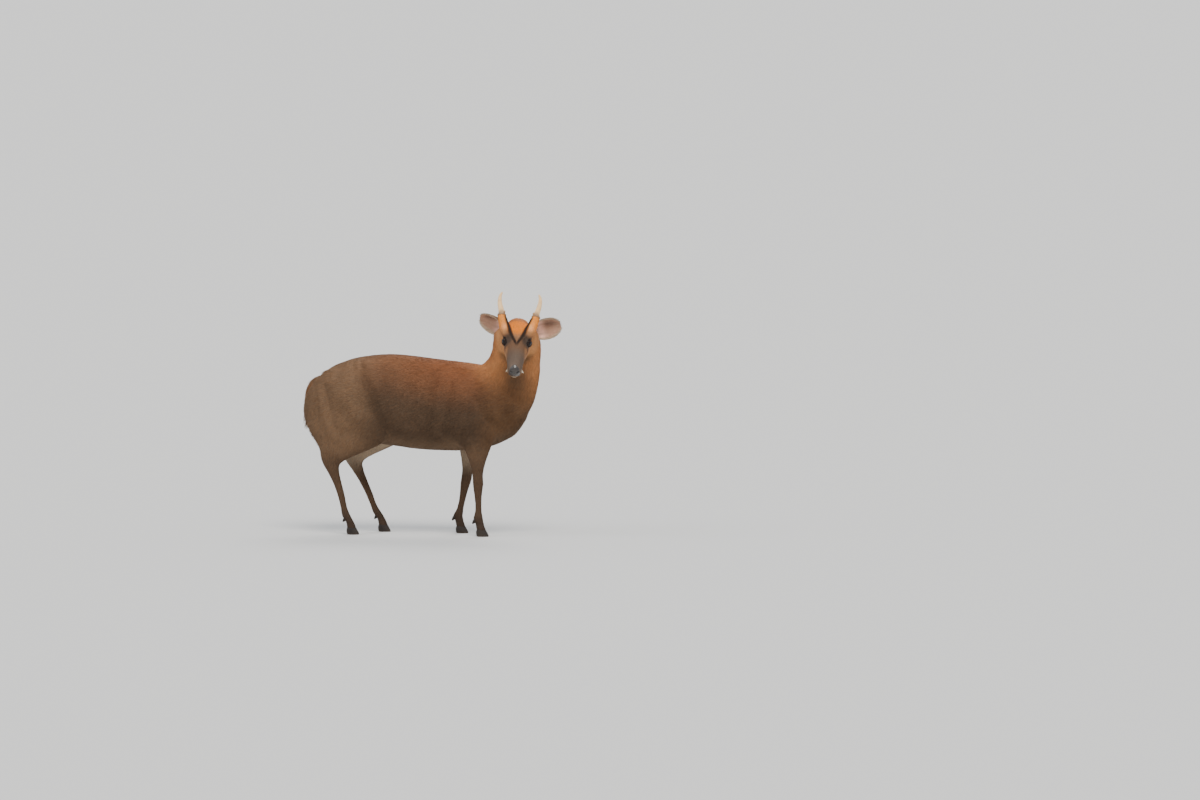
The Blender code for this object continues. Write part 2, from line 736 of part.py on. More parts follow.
def ear(side, lift, sweep, turn):
    """A cupped leaf on a solid root; its mouth faces the way the head looks."""
    forward, left, top = head_axes()
    ahead = np.array([forward[0], forward[1], 0.0])
    ahead /= np.linalg.norm(ahead)
    lift, sweep = math.radians(lift), math.radians(sweep)
    axis = side * left * math.cos(lift) + np.array([0, 0, math.sin(lift)]) - math.tan(sweep) * ahead
    axis /= np.linalg.norm(axis)
    facing = ahead - axis * ahead.dot(axis)
    facing /= np.linalg.norm(facing)
    facing = np.array(Matrix.Rotation(math.radians(turn) * side, 3, Vector(axis)) @ Vector(facing))
    across = np.cross(axis, facing)
    root = on_head(EAR_ROOT[0], side * EAR_ROOT[1], EAR_ROOT[2])
    count = 12
    rings = []
    for s in EAR_STATIONS:
        half = EAR_WIDTH / 2 * np.interp(s, *zip(*EAR_SHAPE))
        bend = math.radians(np.interp(s, (0, 0.25, 0.6, 1), (100, 90, 74, 50)))
        reach = half / math.sin(min(bend, math.pi / 2))
        wall = min(EAR_WALL, half * 0.6)
        theta = np.linspace(-bend, bend, count)
        solid = np.clip(1 - (s - 0.04) / 0.16, 0, 1)
        depth = -reach * (np.cos(theta) - math.cos(bend))
        outer = np.column_stack([reach * np.sin(theta), depth])
        inner = np.column_stack([(reach - wall) * np.sin(theta),
                                 -(reach - wall) * np.cos(theta) + reach * math.cos(bend)])
        lid = np.column_stack([(reach - wall) * np.sin(theta) * 0.96,
                               0.3 * half * np.cos(theta) * np.ones(count)])
        inner = inner * (1 - solid) + lid * solid
        flat = np.vstack([outer, inner[::-1]]) * U
        centre = root + axis * s * EAR_LENGTH * U + facing * EAR_BOW * U * 4 * s * (1 - s)
        rings.append(centre + np.outer(flat[:, 0], across) + np.outer(flat[:, 1], facing))
    return loft("ear", rings)


def ball(name, centre, radii, axes=None, segments=16, rows=12, collection=None):
    mesh = bmesh.new()
    bmesh.ops.create_uvsphere(mesh, u_segments=segments, v_segments=rows, radius=1.0)
    axes = np.eye(3) if axes is None else np.array(axes, float)
    turn = Matrix([[axes[j][i] * radii[j] for j in range(3)] for i in range(3)])
    for vert in mesh.verts:
        vert.co = turn @ vert.co + Vector(centre)
    data = bpy.data.meshes.new(name)
    mesh.to_mesh(data)
    mesh.free()
    obj = bpy.data.objects.new(name, data)
    (collection or bpy.context.scene.collection).objects.link(obj)
    face_out(obj)
    return obj


def eye_axes(side):
    """Out of the eye, along its opening and across it."""
    forward, left, top = head_axes()
    aim = EYE_AIM[0] * forward + side * EYE_AIM[1] * left + EYE_AIM[2] * top
    aim /= np.linalg.norm(aim)
    length = forward - 0.16 * top
    length = length - aim * length.dot(aim)
    length /= np.linalg.norm(length)
    return aim, length, np.cross(aim, length)


def cut_eye(head, side, cutters):
    """Raises the lids over the ball, then opens its socket between them."""
    aim, length, height = eye_axes(side)
    centre = on_head(0, side * EYE_OUT, 0)
    lids = ball("lids", centre + aim * 0.02 * U, [(EYE_RADIUS + LID) * U] * 3,
                (length, height, aim), 20, 14)
    boolean(head, lids, "UNION")
    remove(lids)
    socket = ball("socket", centre, [EYE_RADIUS * U + GAP] * 3, (length, height, aim), 16, 12,
                  cutters)
    boolean(head, socket, "DIFFERENCE")
    half_length, half_height = EYE_OPENING
    turn = np.linspace(0, 2 * math.pi, 20, endpoint=False)
    across = half_length * np.cos(turn)
    upward = half_height * np.sign(np.sin(turn)) * np.abs(np.sin(turn)) ** 1.25
    rings = []
    for depth, spread in ((0.5, 0.92), (1.9, 1.12)):
        rings.append(centre + aim * depth * U + np.outer(across * spread * U, length)
                     + np.outer(upward * spread * U, height))
    boolean(head, loft("opening", rings, cutters), "DIFFERENCE")
    return ball("eye", centre, [EYE_RADIUS * U] * 3, (length, height, aim))


def surface_at(tree, origin, direction):
    """The last skin met by a ray that leaves the inside of the head."""
    hit = None
    at, direction = Vector(origin), Vector(direction).normalized()
    while True:
        place, normal, index, distance = tree.ray_cast(at, direction)
        if place is None:
            return hit
        hit = place
        at = place + direction * 1e-5


def cut_mouth(head, tree, cutters):
    """A thin crease from one corner of the mouth, round the chin, to the other."""
    forward, left, top = head_axes()
    rings = []
    for angle in np.radians(np.arange(-90, 91, 10)):
        front = 1 - abs(math.sin(angle))
        height = MOUTH_HEIGHT[1] + (MOUTH_HEIGHT[0] - MOUTH_HEIGHT[1]) * front
        direction = forward * math.cos(angle) + left * math.sin(angle)
        origin = on_head(MOUTH_CORNER + 1.5 * front, 0, height)
        skin = np.array(surface_at(tree, origin, direction))
        outer = skin + direction * 0.5 * U
        inner = skin - direction * MOUTH_DEPTH * U
        lift = top * MOUTH_GAP * U / 2
        rings.append(np.array([outer + lift, inner + lift * 0.6, inner - lift * 0.6, outer - lift]))
    boolean(head, loft("mouth", rings, cutters), "DIFFERENCE")


def cut_pits(head, tree, cutters):
    """Nostrils, and the scent gland's slit in front of each eye."""
    forward, left, top = head_axes()
    for side in (-1.0, 1.0):
        for place, aim, slant, radii in (NOSTRIL, GLAND):
            direction = forward * aim[0] + left * side * aim[1] + top * aim[2]
            direction /= np.linalg.norm(direction)
            skin = surface_at(tree, on_head(place[0], side * place[1], place[2]), direction)
            length = forward * slant[0] + left * side * slant[1] + top * slant[2]
            length -= direction * length.dot(direction)
            length /= np.linalg.norm(length)
            axes = (length, np.cross(direction, length), direction)
            pit = ball("pit", skin, [r * U for r in radii], axes, 14, 8, cutters)
            boolean(head, pit, "DIFFERENCE")


def antler(side, head, cutters):
    """A short beam that hooks inwards at its tip, on a burr, with a stub in front."""
    root = np.array(PEDICLE[3][:3])
    points, radii = [], []
    for t, out, bow, radius in ANTLER:
        points.append(on_head(root[0] - ANTLER_LENGTH * t, side * (root[1] + out), root[2] + bow))
        radii.append(radius * U)
    beam = horn_curve(points, radii, "antler", 12, 20)
    ahead = points[1] - points[0]
    ahead /= np.linalg.norm(ahead)
    stub = []
    for along, out, up in ANTLER_STUB:
        stub.append(on_head(root[0] + along, side * (root[1] + out), root[2] + up))
    spur = horn_curve(stub, [r * U for r in (0.42, 0.34, 0.12)], "spur", 8, 5)
    boolean(beam, spur, "UNION")
    remove(spur)
    rings = []
    for depth in (-GAP, 4.0 * U):
        side_axis = np.cross(ahead, (0.3, 0.2, 1.0))
        side_axis /= np.linalg.norm(side_axis)
        up = np.cross(ahead, side_axis)
        middle = points[0] + ahead * depth
        rings.append(ring(middle, side_axis, up, 1.9 * U, 1.9 * U, 1.9 * U, 2.0, 20))
    boolean(head, loft("burr_seat", rings, cutters), "DIFFERENCE")
    return beam


def tusk(side):
    root, tip = np.array(TUSK_ROOT), np.array(TUSK_TIP)
    points = []
    for t in (0.0, 0.5, 1.0):
        along, out, up = root + (tip - root) * t + np.array([0.28, 0.12, 0]) * math.sin(t * math.pi)
        points.append(on_head(along, side * out, up))
    return horn_curve(points, [r * U for r in (0.3, 0.25, 0.07)], "tusk", 10, 8)


def hoof(foot_x, foot_y, side):
    """One claw: a pointed toe, a flat sole and a flat face towards its twin."""
    rings = []
    for z, toe, heel, width in HOOF:
        turn = np.linspace(0, math.pi, 11)
        along = heel + (toe - heel) * (0.5 + 0.5 * np.cos(turn))
        point = np.interp(along, (heel, heel + 1.2, toe), (1.0, 1.05, 0.72))
        out = HOOF_CLEFT / 2 + width * np.sin(turn) ** 0.8 * point
        inside = [(heel + (toe - heel) * share, HOOF_CLEFT / 2) for share in (0.25, 0.5, 0.75)]
        loop = np.array(list(zip(along, out)) + inside)
        height = np.full(len(loop), z)
        rings.append(np.column_stack([foot_x + loop[:, 0], foot_y + side * loop[:, 1], height]) * U)
    return loft("hoof", rings)


def dewclaw(foot_x, foot_y, side):
    length, half = DEWCLAW
    points = []
    for t in (-0.55, 0.2, 0.75, 1.0):
        points.append(np.array([(foot_x - 1.05 - 0.62 * t) * U,
                                (foot_y + side * (0.55 + 0.1 * t)) * U,
                                (4.55 - length * max(t, -0.2)) * U]))
    return horn_curve(points, [r * U for r in (half, half, half * 0.7, 0.12)], "dewclaw", 8, 7)


def tail():
    rows = eased([(i, *row) for i, row in enumerate(TAIL)], 18)
    rings = []
    for i, row in enumerate(rows):
        here, after = rows[max(i - 1, 0)], rows[min(i + 1, len(rows) - 1)]
        down = np.array([after[1] - here[1], 0, after[2] - here[2]])
        down /= np.linalg.norm(down)
        out = np.cross(down, (0, 1, 0))
        rings.append(ring((row[1] * U, 0, row[2] * U), (0, 1, 0), out,
                          row[3] * U, row[4] * U, row[4] * U, 2.0, 20))
    return loft("tail", rings)


def finish(nodes):
    """Names, colours and lays out the nodes, and sets the model on its origin."""
    home = make_collection("muntjac")
    for name, (obj, material) in nodes.items():
        largest_piece(obj)
        face_out(obj)
        obj.name = name
        obj.data.name = name
        for collection in list(obj.users_collection):
            collection.objects.unlink(obj)
        home.objects.link(obj)
        obj.data.materials.clear()
        obj.data.materials.append(make_material(material))
        for vert in obj.data.vertices:
            vert.co -= Vector((*MIDDLE, 0)) * U
        for polygon in obj.data.polygons:
            polygon.use_smooth = True
        obj.data.set_sharp_from_angle(angle=math.radians(50))


def main():
    clear_scene()
    cutters = make_collection("cutters")
    body = body_form()
    thin_body(body)
    floor = prism("floor_cut", np.array([(-50, -9), (50, -9), (50, CORONET), (-50, CORONET)]) * U,
                  -30 * U, 30 * U, (1, 0, 0), (0, 0, 1), (0, 1, 0), 0.0, cutters)
    boolean(body, floor, "DIFFERENCE")
    host = copied(body, "host", GAP * 1.1)
    tree = BVHTree.FromObject(body, bpy.context.evaluated_depsgraph_get())

    flesh = split_body(body, cutters)
    nodes = {name: (obj, "coat") for name, obj in flesh.items()}
    head = flesh["head"]
    cut_mouth(head, tree, cutters)
    cut_pits(head, tree, cutters)
    nodes["tail"] = (tail(), "coat")
    trimmed = [nodes["tail"][0]]
    for side, word in ((-1.0, "right"), (1.0, "left")):
        nodes["eye_" + word] = (cut_eye(head, side, cutters), "eye")
        nodes["ear_" + word] = (ear(side, *EAR_POSE[word]), "ear")
        nodes["antler_" + word] = (antler(side, head, cutters), "antler")
        nodes["tusk_" + word] = (tusk(side), "ivory")
        trimmed += [nodes["ear_" + word][0], nodes["tusk_" + word][0]]
    for name, (sections, foot_x, top_x, foot_y) in STANCE.items():
        for side, word in ((-1.0, "right"), (1.0, "left")):
            claw = hoof(foot_x, foot_y, side)
            nodes["hoof_" + name + "_" + word] = (claw, "horn")
            spur = dewclaw(foot_x, foot_y, side)
            nodes["dewclaw_" + name + "_" + word] = (spur, "horn")
            trimmed.append(spur)
    for obj in trimmed:
        boolean(obj, host, "DIFFERENCE")
    remove(host)
    finish(nodes)
    hide_cutters(cutters)


main()
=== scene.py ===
import math

import bmesh
import bpy
import numpy as np
from mathutils import Matrix, Vector
from mathutils.kdtree import KDTree


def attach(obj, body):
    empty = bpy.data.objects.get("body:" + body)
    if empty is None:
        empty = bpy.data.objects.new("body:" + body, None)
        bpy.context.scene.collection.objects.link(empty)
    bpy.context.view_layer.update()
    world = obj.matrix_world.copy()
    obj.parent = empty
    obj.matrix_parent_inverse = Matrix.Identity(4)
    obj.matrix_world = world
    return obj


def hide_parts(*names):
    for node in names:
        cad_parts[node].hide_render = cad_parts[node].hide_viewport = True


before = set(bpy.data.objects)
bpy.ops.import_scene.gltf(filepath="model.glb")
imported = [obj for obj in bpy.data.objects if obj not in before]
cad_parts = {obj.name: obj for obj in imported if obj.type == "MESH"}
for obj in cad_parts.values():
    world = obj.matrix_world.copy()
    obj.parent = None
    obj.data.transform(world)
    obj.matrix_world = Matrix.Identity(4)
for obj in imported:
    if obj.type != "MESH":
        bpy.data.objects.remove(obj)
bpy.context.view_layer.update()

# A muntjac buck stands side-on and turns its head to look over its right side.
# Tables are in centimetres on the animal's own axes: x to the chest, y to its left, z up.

rng = np.random.default_rng(61)

place = {
    "unit": 0.01,  # metres in one table unit
    "middle": (2.24, -4.44, 0.0),  # of the whole model's box, on the table axes
}

carriage = {
    "headTurn": -78.7,  # degrees from +x
    "headPitch": 35.0,
    "headRoll": 4.0,
    "eyesMiddle": (27.7, -9.5, 53.3),
}

trunk = {
    # x, top, bottom, half width, height of the widest point as a share of the depth
    "torso": (
        (-31.4, 38.4, 32.0, 2.6, 0.50), (-30.2, 41.0, 29.6, 4.8, 0.52),
        (-27.0, 44.4, 27.4, 6.6, 0.55), (-21.0, 47.3, 25.6, 8.0, 0.55),
        (-14.0, 48.7, 24.6, 8.2, 0.50), (-8.0, 49.0, 23.9, 8.5, 0.45),
        (-2.0, 48.5, 23.2, 8.9, 0.43), (5.0, 47.7, 22.9, 8.8, 0.42),
        (11.0, 47.1, 23.0, 8.0, 0.43), (16.5, 46.3, 23.8, 7.0, 0.45),
        (22.0, 43.8, 25.6, 6.2, 0.47), (26.5, 40.5, 29.0, 4.8, 0.50),
        (28.6, 37.0, 32.5, 2.6, 0.50),
    ),
    # z, back, front, middle in y, half width
    "neck": (
        (25.2, 10.5, 20.0, 0.0, 3.2), (27.0, 9.0, 23.4, 0.0, 4.4),
        (30.0, 7.0, 26.2, 0.0, 5.4), (33.0, 6.0, 28.6, 0.0, 6.0),
        (36.5, 6.5, 30.4, 0.0, 6.2), (40.5, 9.0, 31.5, -0.2, 6.1),
        (44.6, 13.6, 32.2, -0.6, 5.7), (48.0, 17.8, 32.4, -1.2, 5.3),
        (51.4, 19.4, 32.6, -1.9, 5.1), (54.0, 19.9, 32.4, -2.5, 4.8),
        (56.4, 21.0, 31.5, -3.2, 4.1), (57.8, 22.8, 30.0, -3.5, 2.7),
    ),
    # x, z, half width, half thickness
    "tail": (
        (-28.6, 42.4, 1.5, 0.9), (-30.6, 41.3, 1.9, 0.95), (-32.0, 39.3, 2.15, 0.8),
        (-32.7, 36.6, 2.3, 0.7), (-33.1, 33.6, 2.0, 0.6), (-33.0, 31.0, 1.3, 0.45),
        (-32.7, 29.4, 0.5, 0.25),
    ),
    # x and z of both ends, reach, height of each muscle; hollows are below zero
    "muscles": (
        ((13.5, 45.5), (20.5, 34.5), 2.6, 0.45), ((19.0, 33.5), (11.0, 29.5), 3.0, 0.5),
        ((8.5, 43.0), (6.5, 29.0), 1.8, -0.35), ((17.0, 47.5), (26.0, 36.0), 1.7, -0.35),
        ((-4.5, 42.0), (-3.0, 32.0), 3.5, -0.45), ((-14.0, 44.5), (-9.0, 31.0), 2.6, 0.4),
        ((-21.0, 41.0), (-18.0, 32.0), 4.0, 0.3), ((-26.0, 40.0), (-23.0, 29.0), 1.4, -0.25),
        ((-15.0, 46.2), (-16.5, 46.0), 1.8, 0.35),
    ),
    "voxel": 0.35,
    "blendPasses": 25,
}

legs = {
    # z, front, back, half width, how far the middle stands in from the foot's line
    "front": (
        (40.0, 3.0, -6.0, 1.4, 2.0), (37.0, 4.2, -7.2, 2.4, 1.5), (33.0, 5.4, -7.0, 2.9, 1.0),
        (29.5, 5.4, -6.2, 2.8, 0.6), (26.6, 4.8, -5.2, 2.4, 0.4), (23.5, 3.5, -3.7, 2.1, 0.2),
        (20.0, 2.2, -2.4, 1.65, 0.1), (17.0, 1.5, -1.7, 1.35, 0.0), (14.2, 1.5, -1.55, 1.45, 0.0),
        (12.2, 1.2, -1.35, 1.2, 0.0), (9.0, 0.95, -1.05, 0.95, 0.0), (6.5, 0.95, -1.15, 1.0, 0.0),
        (4.8, 1.2, -1.6, 1.2, 0.0), (3.4, 1.45, -1.0, 1.08, 0.0), (1.6, 2.1, -0.7, 1.2, 0.0),
    ),
    "hind": (
        (45.0, 5.5, -6.5, 1.6, 1.9), (42.0, 8.0, -9.5, 3.0, 1.5), (38.0, 9.6, -11.9, 3.9, 1.1),
        (34.0, 11.0, -12.6, 4.1, 0.8), (30.5, 12.3, -11.8, 3.7, 0.5), (27.5, 12.2, -10.6, 3.1, 0.3),
        (25.2, 10.0, -9.2, 2.7, 0.2), (23.0, 5.6, -8.3, 2.2, 0.1), (21.2, 1.2, -8.0, 1.75, 0.0),
        (19.3, -2.2, -7.4, 1.5, 0.0), (17.0, -2.6, -6.1, 1.35, 0.0), (14.5, -2.1, -4.8, 1.15, 0.0),
        (10.5, -1.1, -3.3, 0.98, 0.0), (7.0, -0.4, -2.4, 1.0, 0.0), (4.9, 0.5, -2.0, 1.2, 0.0),
        (3.4, 1.35, -1.0, 1.08, 0.0), (1.6, 2.1, -0.7, 1.2, 0.0),
    ),
    # table, x of the foot, x of the same line at the top of the leg, y of the foot
    "stance": {
        "front_right": ("front", 16.2, 15.6, -5.2),
        "front_left": ("front", 8.2, 14.6, 5.2),
        "hind_right": ("hind", -19.8, -20.0, -5.6),
        "hind_left": ("hind", -13.6, -19.6, 5.6),
    },
    "fetlock": 4.8,
    "coronet": 1.9,
}

head = {
    # along the face, top, bottom, half width, height of the widest point
    "skull": (
        (-9.2, 0.9, -2.2, 1.4, 0.5), (-8.2, 1.9, -3.8, 2.7, 0.5), (-6.0, 2.7, -5.4, 3.5, 0.55),
        (-3.5, 2.9, -6.3, 3.8, 0.58), (-1.0, 2.6, -6.2, 3.8, 0.62), (1.0, 2.15, -5.7, 3.55, 0.62),
        (3.0, 1.6, -4.9, 3.15, 0.56), (5.0, 1.1, -4.2, 2.65, 0.50), (7.0, 0.65, -3.75, 2.25, 0.46),
        (9.0, 0.25, -3.6, 2.0, 0.44), (10.4, -0.2, -3.4, 1.65, 0.45), (11.3, -0.9, -2.9, 0.95, 0.5),
    ),
    "jaw": (
        (-5.0, -3.2, -6.4, 2.4, 0.5), (-3.0, -3.4, -6.9, 2.9, 0.5), (0.0, -3.5, -6.4, 2.6, 0.5),
        (3.0, -3.4, -5.6, 2.0, 0.5), (6.0, -3.2, -5.2, 1.55, 0.5), (8.4, -3.1, -5.05, 1.3, 0.5),
        (9.7, -3.1, -4.8, 1.0, 0.5), (10.3, -3.3, -4.3, 0.5, 0.5),
    ),
    # along, out and up, then radii; one on each side
    "masses": (
        ((0.0, 2.55, 0.0), (1.9, 1.35, 1.55)),  # rim of the eye
        ((-1.5, 2.5, 0.1), (2.3, 1.6, 1.6)),  # temple
        ((-2.6, 2.35, -3.3), (2.9, 1.5, 2.7)),  # cheek
        ((-1.6, 2.5, 1.75), (2.6, 1.25, 1.0)),  # brow
        ((8.5, 1.15, -3.0), (2.3, 0.95, 0.95)),  # upper lip
        ((-5.9, 3.0, -1.5), (2.0, 1.6, 1.9)),  # root of the ear
    ),
    "nosePad": ((10.3, 0.0, -1.5), (1.05, 1.55, 1.3)),
    # along, out, up, radius
    "pedicle": (
        (0.6, 2.3, -0.1, 0.9), (-0.6, 2.75, 1.2, 1.4), (-3.2, 3.75, 2.5, 1.48),
        (-6.1, 4.6, 3.7, 1.26), (-7.0, 4.9, 4.0, 1.18),
    ),
    "burrRoot": (-6.1, 4.6, 3.7),
    "mouthCorner": 5.0,
    "mouthHeight": (-3.3, -3.8),
    "nostril": (10.75, 0.95, -1.6),
    "gland": (2.7, 3.05, -0.75),
}


def smoothstep(low, high, value):
    t = np.clip((np.asarray(value, float) - low) / (high - low), 0.0, 1.0)
    return t * t * (3 - 2 * t)


def unit(vectors):
    vectors = np.asarray(vectors, float)
    return vectors / np.maximum(np.linalg.norm(vectors, axis=-1, keepdims=True), 1e-9)


def mixed(a, b, share):
    share = np.asarray(share)[..., None]
    return np.asarray(a) * (1 - share) + np.asarray(b) * share


def headAxes():
    turn, pitch, roll = (math.radians(carriage[k]) for k in ("headTurn", "headPitch", "headRoll"))
    spin = (
        Matrix.Rotation(turn, 3, "Z") @ Matrix.Rotation(-roll, 3, "X") @ Matrix.Rotation(pitch, 3, "Y")
    )
    return [np.array(spin @ Vector(a)) for a in ((1, 0, 0), (0, 1, 0), (0, 0, 1))]


faceAxis, leftAxis, crownAxis = headAxes()
eyesMiddle = np.array(carriage["eyesMiddle"])


def onHead(along, out, up):
    return eyesMiddle + along * faceAxis + out * leftAxis + up * crownAxis


def headPlace(points):
    away = points - eyesMiddle
    return away @ faceAxis, away @ leftAxis, away @ crownAxis


def toWorld(points):
    return (np.asarray(points) - np.array(place["middle"])) * place["unit"]


def eased(rows, count):
    # Reads a table again at even steps of its first column, on a smooth curve.
    rows = np.array(sorted(rows, key=lambda r: r[0]), float)
    at = rows[:, 0]
    slopes = np.gradient(rows, at, axis=0)
    steps = np.linspace(at[0], at[-1], count)
    k = np.clip(np.searchsorted(at, steps, side="right") - 1, 0, len(at) - 2)
    h = (at[k + 1] - at[k])[:, None]
    t = (steps - at[k])[:, None] / h
    curve = (
        (2 * t**3 - 3 * t**2 + 1) * rows[k] + (t**3 - 2 * t**2 + t) * slopes[k] * h
        + (3 * t**2 - 2 * t**3) * rows[k + 1] + (t**3 - t**2) * slopes[k + 1] * h
    )
    curve[:, 0] = steps
    return curve


def ring(centre, side, up, halfSide, halfUp, halfDown, roundness=2.0, sides=48):
    turn = np.arange(sides) * 2 * math.pi / sides
    c, s = np.cos(turn), np.sin(turn)
    across = halfSide * np.sign(c) * np.abs(c) ** (2.0 / roundness)
    along = np.where(s > 0, halfUp, halfDown) * np.sign(s) * np.abs(s) ** (2.0 / roundness)
    return np.array(centre) + np.outer(across, side) + np.outer(along, up)


def loft(rings):
    # Skins rings of equal count, with a fan over each end.
    sides, count = len(rings[0]), len(rings)
    points = np.vstack(list(rings) + [rings[0].mean(0)[None], rings[-1].mean(0)[None]])
    faces = []
    for i in range(count - 1):
        for j in range(sides):
            k = (j + 1) % sides
            faces.append((i * sides + j, i * sides + k, (i + 1) * sides + k, (i + 1) * sides + j))
    last = (count - 1) * sides
    for j in range(sides):
        k = (j + 1) % sides
        faces.append((count * sides, k, j))
        faces.append((count * sides + 1, last + j, last + k))
    return facedOut(points, faces)


def facedOut(points, faces):
    # Turns the faces of a closed shell so that they look outwards.
    volume = 0.0
    for face in faces:
        a = points[face[0]]
        for b, c in zip(face[1:-1], face[2:]):
            volume += np.dot(a, np.cross(points[b], points[c]))
    return points, faces if volume > 0 else [tuple(reversed(f)) for f in faces]


def ellipsoid(centre, axes, radii, sides=28, rows=18):
    rings = []
    for t in np.linspace(0.06, math.pi - 0.06, rows):
        middle = np.array(centre) - np.array(axes[0]) * radii[0] * math.cos(t)
        spread = math.sin(t)
        rings.append(ring(middle, axes[1], axes[2], radii[1] * spread, radii[2] * spread,
                          radii[2] * spread, 2.0, sides))
    return loft(rings)


def tube(points, radii, sides=16, steps=20, flute=None):
    # A tapering bent tube; flute gives extra reach by step and angle.
    at = np.linspace(0, 1, len(points))
    rows = eased(np.column_stack([at, points, radii]), steps)
    rings, side = [], None
    for i, row in enumerate(rows):
        ahead = unit(rows[min(i + 1, steps - 1), 1:4] - rows[max(i - 1, 0), 1:4])
        if side is None:
            side = np.cross(ahead, (0.0, 1.0, 0.2))
        side = unit(side - ahead * side.dot(ahead))
        up = np.cross(ahead, side)
        turn = np.arange(sides) * 2 * math.pi / sides
        reach = row[4] * (1 + (flute(row[0], turn) if flute else 0))
        rings.append(row[1:4] + np.outer(np.cos(turn) * reach, side)
                     + np.outer(np.sin(turn) * reach, up))
    return loft(rings)


def merged(shells):
    points, faces, start = [], [], 0
    for shellPoints, shellFaces in shells:
        points.append(shellPoints)
        faces += [tuple(start + i for i in f) for f in shellFaces]
        start += len(shellPoints)
    return np.vstack(points), faces


def makeObject(name, points, faces, material=None, smooth=True, world=True):
    mesh = bpy.data.meshes.new(name)
    mesh.from_pydata((toWorld(points) if world else points).tolist(), [], faces)
    mesh.update()
    obj = bpy.data.objects.new(name, mesh)
    bpy.context.scene.collection.objects.link(obj)
    if material:
        mesh.materials.append(material)
    mesh.shade_smooth() if smooth else None
    return obj


def addColour(obj, colours, name="coatColour"):
    layer = obj.data.color_attributes.new(name, "FLOAT_COLOR", "POINT")
    layer.data.foreach_set("color", np.column_stack([colours, np.ones(len(colours))]).ravel())


def carry(obj, slot, *nodes):
    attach(obj, "root")
    if nodes:
        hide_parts(*nodes)
    return obj


def legRows(name, count=60):
    # The leg's centre line and half sizes at even heights.
    kind, footX, topX, footY = legs["stance"][name]
    side = math.copysign(1.0, footY)
    rows = []
    for z, front, back, half, inset in eased(legs[kind], count):
        top = legs[kind][0][0]
        rise = max(0.0, (z - legs["fetlock"]) / (top - legs["fetlock"])) ** 0.85
        line = footX + (topX - footX) * rise
        rows.append((z, line + (front + back) / 2, footY - side * inset, (front - back) / 2, half))
    return np.array(rows)


def bodyShells():
    shells = []
    rings = []
    for x, top, bottom, half, share in eased(trunk["torso"], 44):
        middle = bottom + share * (top - bottom)
        rings.append(ring((x, 0, middle), (0, 1, 0), (0, 0, 1), half, top - middle,
                          middle - bottom, 2.15))
    shells.append(loft(rings))
    rings = []
    for z, back, front, middleY, half in eased(trunk["neck"], 40):
        middle = back + 0.45 * (front - back)
        rings.append(ring((middle, middleY, z), (0, 1, 0), (1, 0, 0), half, front - middle,
                          middle - back, 2.1))
    shells.append(loft(rings))
    for name in legs["stance"]:
        rings = [ring((x, y, z), (0, 1, 0), (1, 0, 0), half, deep, deep, 2.1)
                 for z, x, y, deep, half in legRows(name)]
        shells.append(loft(rings))
    for table in ("skull", "jaw"):
        rings = []
        for along, top, bottom, half, share in eased(head[table], 40):
            middle = bottom + share * (top - bottom)
            rings.append(ring(onHead(along, 0, middle), leftAxis, crownAxis, half, top - middle,
                              middle - bottom, 2.2))
        shells.append(loft(rings))
    axes = (faceAxis, leftAxis, crownAxis)
    for side in (-1.0, 1.0):
        for spot, radii in head["masses"]:
            shells.append(ellipsoid(onHead(spot[0], side * spot[1], spot[2]), axes, radii))
        rows = np.array(head["pedicle"])
        path = np.array([onHead(a, side * o, u) for a, o, u in rows[:, :3]])
        shells.append(tube(path, rows[:, 3], 20, 16))
    spot, radii = head["nosePad"]
    shells.append(ellipsoid(onHead(*spot), axes, radii))
    rings = []
    rows = eased([(i, *row) for i, row in enumerate(trunk["tail"])], 24)
    for i, row in enumerate(rows):
        before, after = rows[max(i - 1, 0)], rows[min(i + 1, len(rows) - 1)]
        down = unit(np.array([after[1] - before[1], 0, after[2] - before[2]]))
        rings.append(ring((row[1], 0, row[2]), (0, 1, 0), np.cross(down, (0, 1, 0)), row[3],
                          row[4], row[4], 2.0, 24))
    shells.append(loft(rings))
    return shells


def arraysOf(mesh):
    points = np.empty(len(mesh.vertices) * 3)
    mesh.vertices.foreach_get("co", points)
    edges = np.empty(len(mesh.edges) * 2, int)
    mesh.edges.foreach_get("vertices", edges)
    return points.reshape(-1, 3), edges.reshape(-1, 2)


def normalsOf(mesh):
    normals = np.empty(len(mesh.vertices) * 3)
    mesh.vertices.foreach_get("normal", normals)
    return normals.reshape(-1, 3)


def evened(points, edges, passes, weights):
    # Moves each point towards the middle of its neighbours.
    points = points.copy()
    a, b = edges.T
    count = len(points)
    near = np.maximum(np.bincount(a, minlength=count) + np.bincount(b, minlength=count), 1)
    for _ in range(passes):
        total = np.empty_like(points)
        for axis in range(3):
            total[:, axis] = np.bincount(a, points[b, axis], count)
            total[:, axis] += np.bincount(b, points[a, axis], count)
        points += (total / near[:, None] - points) * weights[:, None] * 0.6
    return points


def headShare(points):
    # One on the head, none on the neck behind it.
    along, out, up = headPlace(points)
    middle = np.interp(along, (-8, -3, 3, 10), (-1.2, -1.8, -1.9, -2.0))
    size = np.interp(along, (-9, -6, -1, 4, 8, 11), (4.2, 4.9, 5.1, 3.9, 2.8, 2.4))
    away = np.hypot(out, up - middle) / size
    onPedicle = smoothstep(1.6, 2.6, up) * smoothstep(-9.5, -7.5, along)
    inside = np.maximum(1 - smoothstep(1.0, 1.25, away), onPedicle)
    return inside * smoothstep(-8.8, -6.2, along)


